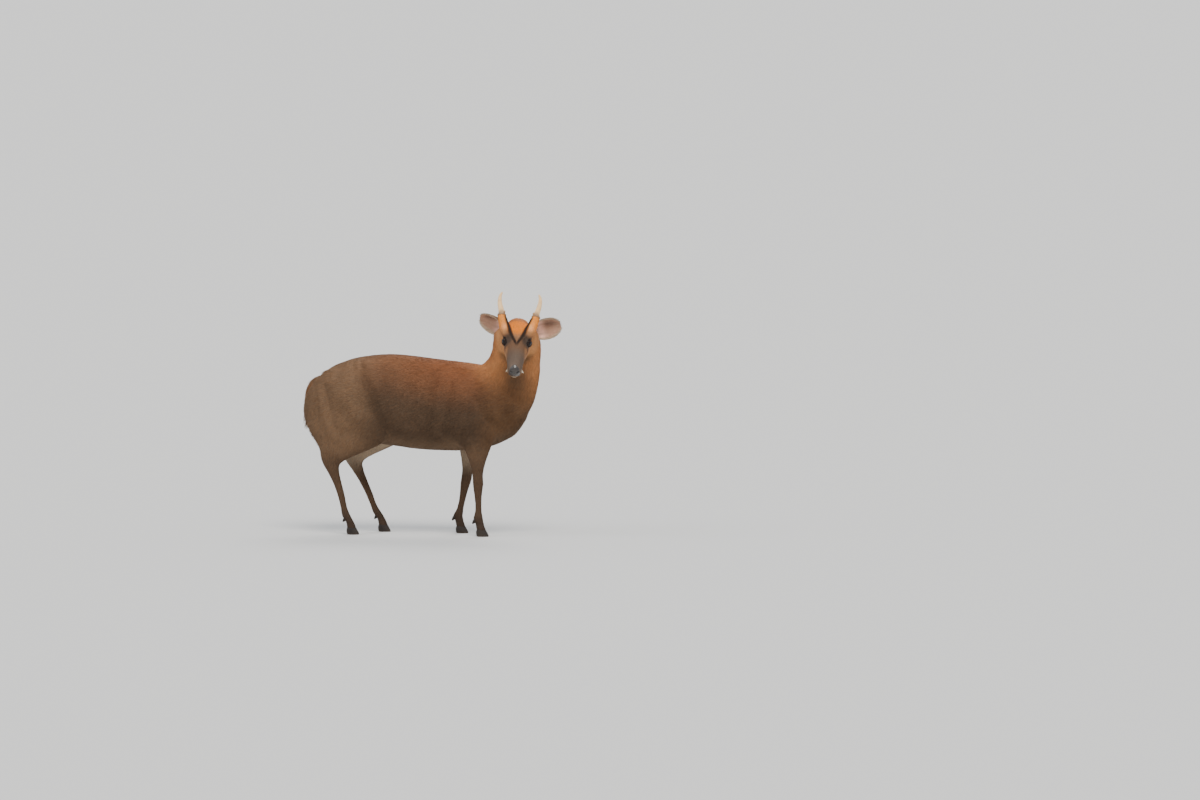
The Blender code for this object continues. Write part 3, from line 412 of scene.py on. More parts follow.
def legShare(points):
    x, y, z = points.T
    best = np.zeros(len(points))
    for name in legs["stance"]:
        rows = legRows(name)
        centreX, centreY, deep, half = (np.interp(z, rows[:, 0], rows[:, i]) for i in (1, 2, 3, 4))
        away = np.hypot((x - centreX) / deep, (y - centreY) / half)
        top = (21.5, 27.5) if name.startswith("front") else (19.5, 29.0)
        share = (1 - smoothstep(1.1, 1.7, away)) * (1 - smoothstep(*top, z))
        best = np.maximum(best, share)
    return best


def tailShare(points):
    x, y, z = points.T
    rows = np.array(sorted(trunk["tail"], key=lambda r: r[1]))
    lineX = np.interp(z, rows[:, 1], rows[:, 0])
    width = np.interp(z, rows[:, 1], rows[:, 2]) + 0.25
    near = 1 - smoothstep(1.0, 1.5, np.abs(x - lineX))
    return near * (1 - smoothstep(0.9, 1.1, np.abs(y) / width)) * (1 - smoothstep(40.5, 42.5, z))


def neckShare(points):
    x, y, z = points.T
    ahead = (x - 13.5) * 0.59 + (z - 48.0) * 0.807
    return smoothstep(-4.0, 4.0, ahead)


def sharesOf(points):
    # How far each point belongs to each part of the body; they add up to one.
    headPart = headShare(points)
    legPart = legShare(points) * (1 - headPart)
    tailPart = tailShare(points) * (1 - headPart) * (1 - legPart)
    neckPart = neckShare(points) * (1 - headPart) * (1 - legPart)
    torsoPart = np.clip(1 - headPart - legPart - tailPart - neckPart, 0, 1)
    return {"head": headPart, "leg": legPart, "tail": tailPart, "neck": neckPart,
            "torso": torsoPart}


eye = {
    "radius": 1.2,
    "out": 2.78,
    "aim": (0.58, 0.72, 0.38),  # along, out, up
    "halfLength": 1.14,
    "halfHeight": 0.78,
    "frontCorner": 1.55,  # below 2 is more pointed than an ellipse
    "rearCorner": 2.1,
    "lid": 0.13,
    "cornea": 0.05,
}


def eyeAxes(side):
    aim = unit(eye["aim"][0] * faceAxis + side * eye["aim"][1] * leftAxis + eye["aim"][2] * crownAxis)
    length = faceAxis - 0.16 * crownAxis
    length = unit(length - aim * length.dot(aim))
    return aim, length, -side * np.cross(aim, length)


def eyeGap(points, side):
    # Distance outside the opening between the lids, measured on the ball.
    aim, length, height = eyeAxes(side)
    away = points - onHead(0, side * eye["out"], 0)
    reach = np.linalg.norm(away, axis=1)
    along, up = (away @ length) / reach * eye["radius"], (away @ height) / reach * eye["radius"]
    power = np.where(along > 0, eye["frontCorner"], eye["rearCorner"])
    scaled = (np.abs(along / eye["halfLength"]) ** power + np.abs(up / eye["halfHeight"]) ** power)
    gap = np.hypot(along, up) * (1 - np.maximum(scaled, 1e-6) ** (-1 / power))
    facing = (away @ aim) / reach
    return np.where(facing > 0.05, gap, 9.0), reach, away, facing


def shapeEyes(points):
    # Opens the lids over each ball and raises their rims and the fold behind them.
    for side in (-1.0, 1.0):
        gap, reach, away, facing = eyeGap(points, side)
        near = (reach < 2.6) & (facing > -0.2)
        rim = eye["radius"] + 0.05
        lid = rim + eye["lid"] * smoothstep(-0.02, 0.14, gap)
        fold = -0.07 * np.exp(-(((gap - 0.42) / 0.1) ** 2)) + 0.05 * np.exp(-(((gap - 0.2) / 0.12) ** 2))
        hug = 0.9 * smoothstep(0.95, 0.15, gap)
        covered = np.maximum(reach, lid) * (1 - hug) + lid * hug + fold
        covered = covered + (reach - covered) * smoothstep(0.8, 1.5, gap)
        opened = smoothstep(-0.01, 0.06, gap)
        target = eye["radius"] * 0.84 * (1 - opened) + covered * opened
        pull = smoothstep(2.6, 1.95, reach)
        scale = np.where(near & (gap < 8), 1 + (target / reach - 1) * pull, 1.0)
        points = points + away * (scale - 1)[:, None]
    return points


def mouthGap(points):
    along, out, up = headPlace(points)
    share = smoothstep(head["mouthCorner"], 8.0, along)
    line = head["mouthHeight"][1] + (head["mouthHeight"][0] - head["mouthHeight"][1]) * share
    line = line + 0.12 * np.exp(-((out / 0.5) ** 2)) * smoothstep(9.5, 10.5, along)
    inside = smoothstep(head["mouthCorner"] - 0.3, head["mouthCorner"] + 0.2, along)
    return up - line, inside


def nostrilGap(points, side):
    # Place along and across the comma of one nostril.
    away = points - onHead(head["nostril"][0], side * head["nostril"][1], head["nostril"][2])
    length = unit(-0.55 * faceAxis + side * 0.75 * leftAxis + 0.42 * crownAxis)
    facing = unit(0.9 * faceAxis + side * 0.45 * leftAxis)
    across = np.cross(facing, length) * side
    along = away @ length
    return along, away @ across - 0.35 * along**2, away @ facing


def glandGap(points, side):
    away = points - onHead(head["gland"][0], side * head["gland"][1], head["gland"][2])
    length = unit(1.0 * faceAxis - side * 0.32 * leftAxis - 0.42 * crownAxis)
    facing = unit(0.25 * faceAxis + side * leftAxis + 0.35 * crownAxis)
    across = np.cross(facing, length)
    return away @ length, away @ across, away @ facing


def nosePadShare(points):
    along, out, up = headPlace(points)
    front = smoothstep(9.75, 10.15, along + 0.28 * np.maximum(up + 1.0, 0) - 0.35 * np.abs(out))
    low = smoothstep(-3.25, -2.95, up)
    middle = np.exp(-((out / 0.32) ** 2)) * smoothstep(-3.6, -3.3, up) * smoothstep(10, 10.4, along)
    return np.maximum(front * low, middle)


def endPedicles(points):
    # Ends each stalk in a flat seat for its antler.
    for side in (-1.0, 1.0):
        before, root = (onHead(row[0], side * row[1], row[2]) for row in head["pedicle"][2:4])
        ahead = unit(root - before)
        away = points - root
        beyond = away @ ahead
        flat = away - beyond[:, None] * ahead
        near = (beyond > 0) & (np.linalg.norm(flat, axis=1) < 2.6) & (beyond < 3)
        points = np.where(near[:, None], root + flat * 0.8, points)
    return points


def shapeFace(points, normals):
    # Lips, nostrils, scent glands and the folds round them, as depths below the surface.
    along, out, up = headPlace(points)
    onHeadShare = headShare(points)
    depth = -0.13 * stripeShare(points) * onHeadShare
    gap, inside = mouthGap(points)
    depth += inside * onHeadShare * (0.26 * np.exp(-((gap / 0.07) ** 2)))
    depth -= inside * onHeadShare * 0.07 * np.exp(-(((np.abs(gap) - 0.28) / 0.16) ** 2))
    for side in (-1.0, 1.0):
        a, c, f = nostrilGap(points, side)
        close = np.abs(f) < 0.9
        pit = np.exp(-((a / 0.48) ** 4)) * np.exp(-((c / 0.19) ** 2))
        rim = np.exp(-((a / 0.56) ** 4)) * np.exp(-(((np.abs(c) - 0.36) / 0.12) ** 2))
        depth += close * (0.55 * pit - 0.09 * rim)
        a, c, f = glandGap(points, side)
        close = np.abs(f) < 1.2
        slit = np.exp(-((a / 0.95) ** 4)) * np.exp(-((c / 0.11) ** 2))
        rim = np.exp(-((a / 1.05) ** 4)) * np.exp(-(((np.abs(c) - 0.25) / 0.12) ** 2))
        depth += close * (0.3 * slit - 0.07 * rim)
    pad = nosePadShare(points)
    edge = np.exp(-(((pad - 0.5) / 0.3) ** 2)) * (along > 8.5)
    depth += 0.03 * edge
    groove = np.exp(-((out / 0.06) ** 2)) * smoothstep(10.2, 10.8, along) * smoothstep(-3.4, -3.1, up)
    depth += 0.09 * groove * (1 - smoothstep(-1.3, -0.9, up))
    return points - normals * depth[:, None]


coat = {
    # how deep the coat is, how long its tufts are, their width, all in cm, tufts to a cm2,
    # and how high the tips stand as a share of the depth
    "torso": {"depth": 0.24, "length": 1.75, "width": 0.18, "dense": 20.5, "rise": 0.74},
    "neck": {"depth": 0.26, "length": 1.85, "width": 0.175, "dense": 21.5, "rise": 0.74},
    "leg": {"depth": 0.15, "length": 0.85, "width": 0.12, "dense": 28.0, "rise": -0.1},
    "tail": {"depth": 0.3, "length": 2.0, "width": 0.14, "dense": 28.0, "rise": 0.7},
    "head": {"depth": 0.12, "length": 0.57, "width": 0.085, "dense": 48.0, "rise": 0.35},
    "forehead": {"length": 0.9, "depth": 0.2, "width": 0.09},
    "pieceTufts": 19000,
    "nudges": 3,
    "normalShare": 0.8,
}


def coatSize(shares, points, key):
    value = sum(shares[part] * coat[part][key] for part in shares)
    along, out, up = headPlace(points)
    if key in coat["forehead"]:
        crown = shares["head"] * smoothstep(2.5, -3.0, along) * smoothstep(0.0, 1.6, up)
        value = value * (1 - crown) + coat["forehead"][key] * crown
        if key == "length":
            stalk = shares["head"] * smoothstep(2.0, 2.8, up) * smoothstep(2.6, 3.2, np.abs(out))
            value = value * (1 - 0.75 * stalk * smoothstep(-4.4, -5.9, along))
        muzzle = shares["head"] * smoothstep(4.0, 9.0, along)
        value = value * (1 - 0.45 * muzzle)
    if key == "dense":
        return value
    for side in (-1.0, 1.0):
        gap, reach, away, facing = eyeGap(points, side)
        value = value * (1 - 0.55 * (reach < 2.6) * smoothstep(0.9, 0.1, gap))
    low = smoothstep(12.0, 4.0, points[:, 2]) * shares["leg"]
    return value * (1 - 0.35 * low)


def raiseMuscles(mesh, points):
    normals, flat = normalsOf(mesh), points[:, [0, 2]]
    lift = np.zeros(len(points))
    for start, end, reach, height in trunk["muscles"]:
        line = np.subtract(end, start)
        share = np.clip((flat - start) @ line / (line @ line), 0, 1)
        away = np.linalg.norm(flat - start - share[:, None] * line, axis=1)
        lift += height * np.exp(-((away / reach) ** 2))
    sideways = np.clip((np.abs(normals[:, 1]) - 0.2) / 0.5, 0, 1)
    outer = np.clip((np.abs(points[:, 1]) - 2.5) / 1.5, 0, 1) * (points[:, 1] * normals[:, 1] > 0)
    return points + normals * (lift * sideways * outer * (1 - headShare(points)))[:, None]


def buildSkinArrays():
    points, faces = merged(bodyShells())
    obj = makeObject("skinForm", points, faces, world=False)
    fuse = obj.modifiers.new("fuse", "REMESH")
    fuse.mode = "VOXEL"
    fuse.voxel_size = trunk["voxel"]
    graph = bpy.context.evaluated_depsgraph_get()
    mesh = bpy.data.meshes.new_from_object(obj.evaluated_get(graph))
    bpy.data.objects.remove(obj, do_unlink=True)
    points, edges = arraysOf(mesh)
    along, out, up = headPlace(points)
    onFace = (along > -8) & (np.abs(out) < 7) & (up > -8) & (points[:, 2] > 41)
    body = smoothstep(21.0, 27.0, points[:, 2])
    onTail = tailShare(points)
    weights = np.where(onFace, 0.12, body * 0.9) * (1 - 0.85 * onTail)
    points = evened(points, edges, trunk["blendPasses"], weights)
    points = evened(points, edges, 4, np.full(len(points), 0.7))
    mesh.vertices.foreach_set("co", points.ravel())
    mesh.update()
    mesh.vertices.foreach_set("co", raiseMuscles(mesh, points).ravel())
    mesh.update()
    return mesh


def refineHead(mesh):
    # Finer faces on the head, and finer again round the eyes and the muzzle.
    work = bmesh.new()
    work.from_mesh(mesh)
    for step in range(2):
        work.verts.ensure_lookup_table()
        points = np.array([v.co for v in work.verts])
        along, out, up = headPlace(points)
        if step == 0:
            chosen = headShare(points) > 0.3
        else:
            chosen = (along > 7.6) & (headShare(points) > 0.3)
            gap, inside = mouthGap(points)
            chosen |= (np.abs(gap) < 0.9) & (along > 4.2) & (headShare(points) > 0.3)
            for side in (-1.0, 1.0):
                lids, reach, away, facing = eyeGap(points, side)
                chosen |= (reach < 2.3) & (lids < 0.9)
                a, c, f = glandGap(points, side)
                chosen |= (np.abs(a) < 1.4) & (np.abs(c) < 0.7) & (np.abs(f) < 1.2)
        edges = [e for e in work.edges if chosen[e.verts[0].index] and chosen[e.verts[1].index]]
        bmesh.ops.subdivide_edges(work, edges=edges, cuts=1, use_grid_fill=True)
    bmesh.ops.triangulate(work, faces=[f for f in work.faces if len(f.verts) > 4])
    work.to_mesh(mesh)
    work.free()
    return mesh


def buildSkin():
    mesh = refineHead(buildSkinArrays())
    points, edges = arraysOf(mesh)
    points = evened(points, edges, 3, headShare(points) * 0.8)
    mesh.vertices.foreach_set("co", points.ravel())
    mesh.update()
    shares = sharesOf(points)
    depth = coatSize(shares, points, "depth") * (1 - 0.9 * nosePadShare(points))
    points = points - normalsOf(mesh) * depth[:, None]
    mesh.vertices.foreach_set("co", points.ravel())
    mesh.update()
    points = shapeFace(points, normalsOf(mesh))
    points = endPedicles(shapeEyes(points))
    points[:, 2] = np.maximum(points[:, 2], legs["coronet"] - 0.12)
    mesh.vertices.foreach_set("co", points.ravel())
    mesh.update()
    return mesh


hues = {
    "back": (0.245, 0.085, 0.032),
    "loin": (0.205, 0.090, 0.042),
    "spine": (0.130, 0.056, 0.027),
    "flank": (0.072, 0.042, 0.024),
    "haunch": (0.170, 0.098, 0.053),
    "bellyInShade": (0.122, 0.074, 0.042),
    "innerThigh": (0.420, 0.320, 0.220),
    "neck": (0.500, 0.200, 0.070),
    "nape": (0.330, 0.125, 0.045),
    "breast": (0.160, 0.078, 0.034),
    "jawShadow": (0.082, 0.045, 0.024),
    "forehead": (0.740, 0.196, 0.012),
    "pedicle": (0.830, 0.280, 0.044),
    "browSpot": (1.000, 0.430, 0.155),
    "wedge": (0.290, 0.140, 0.066),
    "orbit": (0.056, 0.038, 0.029),
    "face": (0.148, 0.077, 0.042),
    "cheek": (0.580, 0.260, 0.100),
    "muzzle": (0.140, 0.100, 0.074),
    "lip": (0.410, 0.310, 0.220),
    "stripe": (0.026, 0.014, 0.009),
    "leg": (0.088, 0.050, 0.028),
    "foot": (0.055, 0.033, 0.021),
    "nose": (0.028, 0.020, 0.016),
    "lidSkin": (0.024, 0.017, 0.013),
    "tail": (0.210, 0.100, 0.046),
    "tailUnder": (0.780, 0.720, 0.620),
    "earBack": (0.200, 0.110, 0.060),
    "earSkin": (0.480, 0.270, 0.180),
    "earPinkAndGlow": (1.000, 0.600, 0.460),
    "earHollowShade": (0.120, 0.070, 0.050),
    "earHair": (0.600, 0.450, 0.310),
}


def ripple(points, scale, seed):
    # Smooth noise from a few crossed waves, about -1 to 1.
    waves = np.random.default_rng(seed)
    total = np.zeros(len(points))
    for _ in range(7):
        way = unit(waves.normal(size=3)) * waves.uniform(0.6, 1.6) / scale
        total += np.sin(points @ way + waves.uniform(0, 6.3))
    return total / 3.2


def stripeShare(points):
    # The dark lines that run from each antler's root down to the middle of the face.
    along, out, up = headPlace(points)
    centre = np.interp(along, (-6.2, -3.9, -0.8, 1.0, 2.9), (3.4, 2.9, 1.9, 1.12, 0.14))
    width = np.interp(along, (-6.0, -2.0, 1.5, 3.2), (0.7, 0.66, 0.53, 0.3))
    line = np.exp(-(((np.abs(out) - centre) / width) ** 4))
    return line * smoothstep(3.7, 2.5, along) * smoothstep(0.0, 0.8, up) * smoothstep(-6.4, -5.0, along)


def coatColour(points, normals, shares):
    along, out, up = headPlace(points)
    x, y, z = points.T
    facingUp = normals[:, 2]
    back = mixed(hues["loin"], hues["back"], smoothstep(-12.0, 8.0, x))
    redEnds = np.interp(x, (-8.0, 13.0), (35.8, 32.2))
    # Darker low on the sides and lighter up to the red back: partly the coat's own colour, partly painted shade of
    # light from above.
    torso = mixed(hues["flank"], back, smoothstep(redEnds, 49.6, z))
    torso = mixed(torso, hues["haunch"], 0.85 * smoothstep(-8.0, -19.0, x))
    torso = mixed(torso, hues["spine"], 0.55 * np.exp(-((y / 1.4) ** 2)) * smoothstep(0.4, 0.9, facingUp))
    torso = mixed(torso, hues["breast"], 0.5 * smoothstep(15.0, 22.0, x) * smoothstep(47.0, 42.0, z))
    # Painted shade: the underside is brown rather than pale, as if in shadow from light above.
    under = smoothstep(-0.3, -0.85, facingUp) * smoothstep(36.0, 28.0, z)
    torso = mixed(torso, hues["bellyInShade"], under)
    inner = smoothstep(0.2, 0.8, -normals[:, 1] * np.sign(y)) * smoothstep(33, 26, z)
    inner = inner * smoothstep(-6.0, -12.0, x)
    torso = mixed(torso, hues["innerThigh"], 0.8 * inner * smoothstep(19.5, 25.0, z))

    neck = mixed(hues["neck"], hues["nape"], 0.6 * smoothstep(-0.3, -0.9, normals[:, 0]))
    neck = mixed(neck, hues["breast"], 0.92 * smoothstep(48.0, 36.0, z))
    # Painted shadow: a dark patch on the right side of the neck, under the turned head's jaw.
    jawShadowShare = np.exp(-(((x - 26.8) / 4.4) ** 2) - ((z - 43.7) / 6.0) ** 2)
    neck = mixed(neck, hues["jawShadow"], 0.92 * jawShadowShare * smoothstep(0.3, 0.75, -normals[:, 1]))

    face = np.tile(hues["face"], (len(points), 1))
    wedge = smoothstep(3.2, 0.2, along) * smoothstep(2.0, 0.8, np.abs(out)) * smoothstep(0.4, 1.1, up)
    face = mixed(face, hues["wedge"], wedge)
    face = mixed(face, hues["cheek"], 0.85 * smoothstep(2.2, 3.6, np.abs(out)) * smoothstep(-0.4, -2.0, up))
    face = mixed(face, hues["cheek"], smoothstep(1.5, -3.0, along) * smoothstep(0.4, -1.2, up))
    face = mixed(face, hues["cheek"], 0.8 * smoothstep(-0.9, -2.6, along) * smoothstep(2.4, 3.4, np.abs(out)))
    crown = smoothstep(0.9, -1.5, along + 0.35 * np.abs(out)) * smoothstep(0.6, 1.8, up)
    face = mixed(face, hues["forehead"], crown)
    face = mixed(face, hues["nape"], 0.8 * crown * smoothstep(-4.4, -6.2, along))
    pedicleFur = smoothstep(-1.4, -3.0, along) * smoothstep(2.2, 3.2, np.abs(out)) * smoothstep(1.2, 2.0, up)
    face = mixed(face, hues["pedicle"], pedicleFur)
    for side in (-1.0, 1.0):
        away = np.linalg.norm(points - onHead(0.9, side * 2.3, 0.6), axis=1)
        face = mixed(face, hues["orbit"], 0.8 * smoothstep(2.4, 1.2, away))
    spot = np.exp(-(((along + 1.8) / 1.1) ** 2)) * np.exp(-(((np.abs(out) - 3.5) / 0.8) ** 2))
    face = mixed(face, hues["browSpot"], 0.9 * spot * smoothstep(0.7, 1.5, up))
    face = mixed(face, hues["muzzle"], 0.85 * smoothstep(3.0, 7.0, along) * smoothstep(-2.6, -1.4, up))
    faceSide = smoothstep(1.9, 2.7, np.abs(out)) * smoothstep(2.6, 3.8, along) * smoothstep(8.0, 6.4, along)
    face = mixed(face, hues["cheek"], 0.45 * faceSide)
    lips = smoothstep(4.2, 6.0, along) * smoothstep(-2.75, -3.15, up) * smoothstep(9.9, 9.4, along)
    lipSide = smoothstep(6.4, 8.0, along) * smoothstep(10.3, 9.6, along) * smoothstep(-1.5, -2.5, up)
    chin = smoothstep(-3.5, -4.0, up) * smoothstep(2.0, 6.0, along)
    face = mixed(face, hues["lip"], np.maximum.reduce([0.75 * lips, 0.7 * lipSide, 0.85 * chin]))
    outward = (normals @ leftAxis) * np.sign(out)
    face = mixed(face, hues["stripe"], stripeShare(points) * smoothstep(0.6, 0.2, outward))
    # Painted shade: brown under the jaw, where the throat itself is paler.
    face = mixed(face, hues["breast"], 0.8 * smoothstep(-4.4, -5.6, up) * smoothstep(-5.0, 0.0, along))
    for side in (-1.0, 1.0):
        gap, reach, away, facing = eyeGap(points, side)
        face = mixed(face, hues["lidSkin"], (1 - smoothstep(0.06, 0.24, gap)) * smoothstep(1.7, 1.5, reach))
        a, c, f = glandGap(points, side)
        slit = np.exp(-((a / 1.15) ** 4)) * np.exp(-((c / 0.2) ** 2)) * (np.abs(f) < 1.2)
        face = mixed(face, hues["lidSkin"], slit)
    gap, inside = mouthGap(points)
    face = mixed(face, hues["nose"], inside * np.exp(-((gap / 0.1) ** 2)))
    face = mixed(face, hues["nose"], nosePadShare(points))

    leg = mixed(hues["leg"], hues["foot"], smoothstep(9.0, 3.0, z))
    leg = mixed(leg, hues["haunch"], 0.7 * smoothstep(18.0, 27.0, z))
    leg = mixed(leg, hues["innerThigh"], 0.55 * smoothstep(0.1, 0.8, -normals[:, 1] * np.sign(y))
                * smoothstep(15.0, 22.0, z))
    edge = np.maximum(smoothstep(0.7, 1.3, np.abs(y)), smoothstep(31.5, 30.0, z))
    under = smoothstep(0.1, 0.5, normals[:, 0]) * smoothstep(38.0, 36.0, z) * edge
    tail = mixed(hues["tail"], hues["tailUnder"], under)
    tail = mixed(tail, hues["tailUnder"], 0.8 * smoothstep(0.72, 1.0, np.abs(y) / 2.2) * smoothstep(39.5, 37.5, z))

    colour = (shares["torso"][:, None] * torso + shares["neck"][:, None] * neck
              + shares["head"][:, None] * face + shares["leg"][:, None] * leg
              + shares["tail"][:, None] * tail)
    mottle = 1 + 0.10 * ripple(points, 2.6, 5) + 0.06 * ripple(points, 0.9, 8)
    return np.clip(colour * mottle[:, None], 0.004, 1)


def lieOfCoat(points, normals, shares):
    # The way the hair points, from its root to its tip.
    along, out, up = headPlace(points)
    x, y, z = points.T
    side = np.sign(out)[:, None]
    low = smoothstep(40.0, 27.0, z)[:, None]
    torso = np.array([-1.0, 0, -0.28]) * (1 - low) + np.array([-0.75, 0, -0.8]) * low
    neck = np.array([-0.30, 0, -1.0]) + np.array([-0.7, 0, 0.2]) * smoothstep(36, 26, z)[:, None]
    leg = np.tile([-0.14, 0.0, -1.0], (len(points), 1))
    tail = np.tile([-0.12, 0.0, -1.0], (len(points), 1))
    tail[:, 1] = 0.14 * np.sign(y)
    face = -faceAxis - 0.22 * crownAxis * smoothstep(1.0, -1.5, up)[:, None]
    face = face + 0.18 * side * leftAxis
    stalk = (-0.86 * faceAxis + 0.36 * crownAxis) + 0.27 * side * leftAxis
    onStalk = (smoothstep(2.0, 3.0, up) * smoothstep(-1.5, -3.5, along)
               * smoothstep(1.8, 2.6, np.abs(out)))[:, None]
    face = face * (1 - onStalk) + stalk * onStalk
    way = (shares["torso"][:, None] * torso + shares["neck"][:, None] * neck
           + shares["leg"][:, None] * leg + shares["tail"][:, None] * tail
           + shares["head"][:, None] * face)
    way = way + 0.10 * np.column_stack([ripple(points, 1.8, 21 + i) for i in range(3)])
    way = way - normals * np.sum(way * normals, axis=1, keepdims=True)
    return unit(way)


def bareShare(points):
    # Nose, lids, lips, scent glands and hoof edges carry no tufts.
    bare = nosePadShare(points)
    gap, inside = mouthGap(points)
    bare = np.maximum(bare, inside * (np.abs(gap) < 0.14) * (headShare(points) > 0.3))
    for side in (-1.0, 1.0):
        lids, reach, away, facing = eyeGap(points, side)
        bare = np.maximum(bare, (lids < 0.13) & (reach < 1.45))
        a, c, f = glandGap(points, side)
        bare = np.maximum(bare, (np.abs(a) < 1.0) & (np.abs(c) < 0.16) & (np.abs(f) < 1.2))
    bare = np.maximum(bare, points[:, 2] < legs["coronet"] + 0.15)
    return bare


def scatter(mesh, density):
    # Places spread evenly by area: triangle corners, weights and a draw for each.
    mesh.calc_loop_triangles()
    corners = np.empty(len(mesh.loop_triangles) * 3, int)
    mesh.loop_triangles.foreach_get("vertices", corners)
    corners = corners.reshape(-1, 3)
    points, edges = arraysOf(mesh)
    normals = normalsOf(mesh)
    a, b, c = (points[corners[:, i]] for i in range(3))
    area = np.linalg.norm(np.cross(b - a, c - a), axis=1) / 2
    share = area * density((a + b + c) / 3, unit(normals[corners].sum(1)))
    total = np.cumsum(share)
    count = int(total[-1])
    picks = (np.arange(count) + rng.random(count)) * (total[-1] / count)
    chosen = np.minimum(np.searchsorted(total, picks), len(corners) - 1)
    s, t = np.sqrt(rng.random(count)), rng.random(count)
    weights = np.column_stack([1 - s, s * (1 - t), s * t])
    roots = np.einsum("nk,nkj->nj", weights, points[corners[chosen]])
    rootNormals = unit(np.einsum("nk,nkj->nj", weights, normals[corners[chosen]]))
    return roots, rootNormals


def spreadOut(roots, normals, ways, dense):
    # Nudges crowded roots apart, most of all across the lie, so that no thin places show.
    reach = (1.25 / np.sqrt(dense))[:, None]
    for _ in range(coat["nudges"]):
        tree = KDTree(len(roots))
        for i, root in enumerate(roots.tolist()):
            tree.insert(root, i)
        tree.balance()
        near = np.array([[found[1] for found in tree.find_n(root, 9)] for root in roots.tolist()])
        gap = roots[:, None] - roots[near]
        own = np.sum(gap * ways[:, None], axis=2, keepdims=True)
        gap = gap - 0.5 * own * ways[:, None] - normals[:, None] * np.sum(
            gap * normals[:, None], axis=2, keepdims=True)
        away = np.linalg.norm(gap, axis=2)
        share = np.clip(1 - away / reach, 0, 1) * (away > 1e-6) * 0.22
        roots = roots + np.sum(gap / np.maximum(away, 1e-6)[:, :, None] * (share * reach)[:, :, None], axis=1)
    return roots


tuft = {
    "faces": ((3, 4, 1, 0), (4, 5, 2, 1), (6, 4, 3), (6, 5, 4), (5, 3, 0, 2), (6, 3, 5), (0, 1, 2)),
    "lowerLoops": 10,  # corners of the last three faces, which look down or back
    "patch": ((-1, -1), (0, -1), (1, -1), (-0.8, 0), (0, 0), (0.8, 0), (0, 1)),
    "patchHalf": 0.0015,
    "thickness": 0.2,
    # Each tuft is darker at the root: partly the hair's own banding, partly painted shade deep in the coat.
    "tone": (0.86, 0.86, 0.86, 1.0, 1.0, 1.0, 1.06),  # from root to tip
    # place across and along the tuft, which its finish reads
    "strand": ((-1, 0), (0, 0), (1, 0), (-0.85, 0.5), (0, 0.5), (0.85, 0.5), (0, 1)),
}


def growTufts(name, roots, normals, ways, sizes, colours, chart, material, slot):
    # One mesh of bent, tapering three-sided tufts, each sunk a little into the skin.
    count = len(roots)
    length, width, height, rise = sizes
    side = unit(np.cross(normals, ways))
    middle = roots + ways * (length * 0.4)[:, None] + normals * (height * (0.3 + 0.5 * rise))[:, None]
    tip = roots + ways * length[:, None] + normals * (height * rise)[:, None]
    tip = tip + side * (width * rng.normal(0, 0.6, count))[:, None]
    base = roots - normals * (0.03 + 0.1 * height)[:, None] - ways * (0.12 * length)[:, None]
    half, thick = side * (width * 0.5)[:, None], normals * (width * tuft["thickness"])[:, None]
    points = np.stack([base - half, base + thick, base + half, middle - half * 0.85,
                       middle + thick * 0.9, middle + half * 0.85, tip], axis=1)
    lean = 1 - coat["normalShare"]
    shade = [normals - lean * 1.2 * side, normals, normals + lean * 1.2 * side]
    shading = unit(np.stack(shade + shade + [normals + 0.25 * ways], axis=1))
    below = np.repeat(unit(0.6 * ways - normals)[:, None], tuft["lowerLoops"], axis=1)
    tints = colours[:, None, :] * np.array(tuft["tone"])[None, :, None]
    offsets = np.array(tuft["patch"]) * tuft["patchHalf"]
    uvs = np.clip(chart[:, None, :] + offsets[None], 0.001, 0.999)

    shapes = [np.array(f) for f in tuft["faces"]]
    loops = np.concatenate(shapes)
    starts = np.arange(count)[:, None] * 7
    loopVerts = (starts + loops[None]).ravel().astype(np.int32)
    sizesPer = np.array([len(f) for f in shapes])
    faceStarts = np.concatenate([[0], np.cumsum(np.tile(sizesPer, count))[:-1]]).astype(np.int32)
    mesh = bpy.data.meshes.new(name)
    mesh.vertices.add(count * 7)
    mesh.vertices.foreach_set("co", toWorld(points.reshape(-1, 3)).ravel())
    mesh.loops.add(len(loopVerts))
    mesh.loops.foreach_set("vertex_index", loopVerts)
    mesh.polygons.add(len(shapes) * count)
    mesh.polygons.foreach_set("loop_start", faceStarts)
    mesh.update(calc_edges=True)
    mesh.shade_smooth()
    layer = mesh.uv_layers.new(name="OFBake")
    layer.data.foreach_set("uv", uvs.reshape(-1, 2)[loopVerts].ravel())
    obj = bpy.data.objects.new(name, mesh)
    bpy.context.scene.collection.objects.link(obj)
    addColour(obj, np.clip(tints.reshape(-1, 3), 0, 1))
    strand = np.concatenate([np.tile(tuft["strand"], (count, 1)),
                             np.repeat(rng.random(count), 7)[:, None]], axis=1)
    mesh.attributes.new("strand", "FLOAT_VECTOR", "POINT").data.foreach_set("vector", strand.ravel())
    corners = np.concatenate([shading[:, loops[:-tuft["lowerLoops"]]], below], axis=1)
    mesh.normals_split_custom_set(corners.reshape(-1, 3).tolist())
    mesh.materials.append(material)
    return carry(obj, slot)


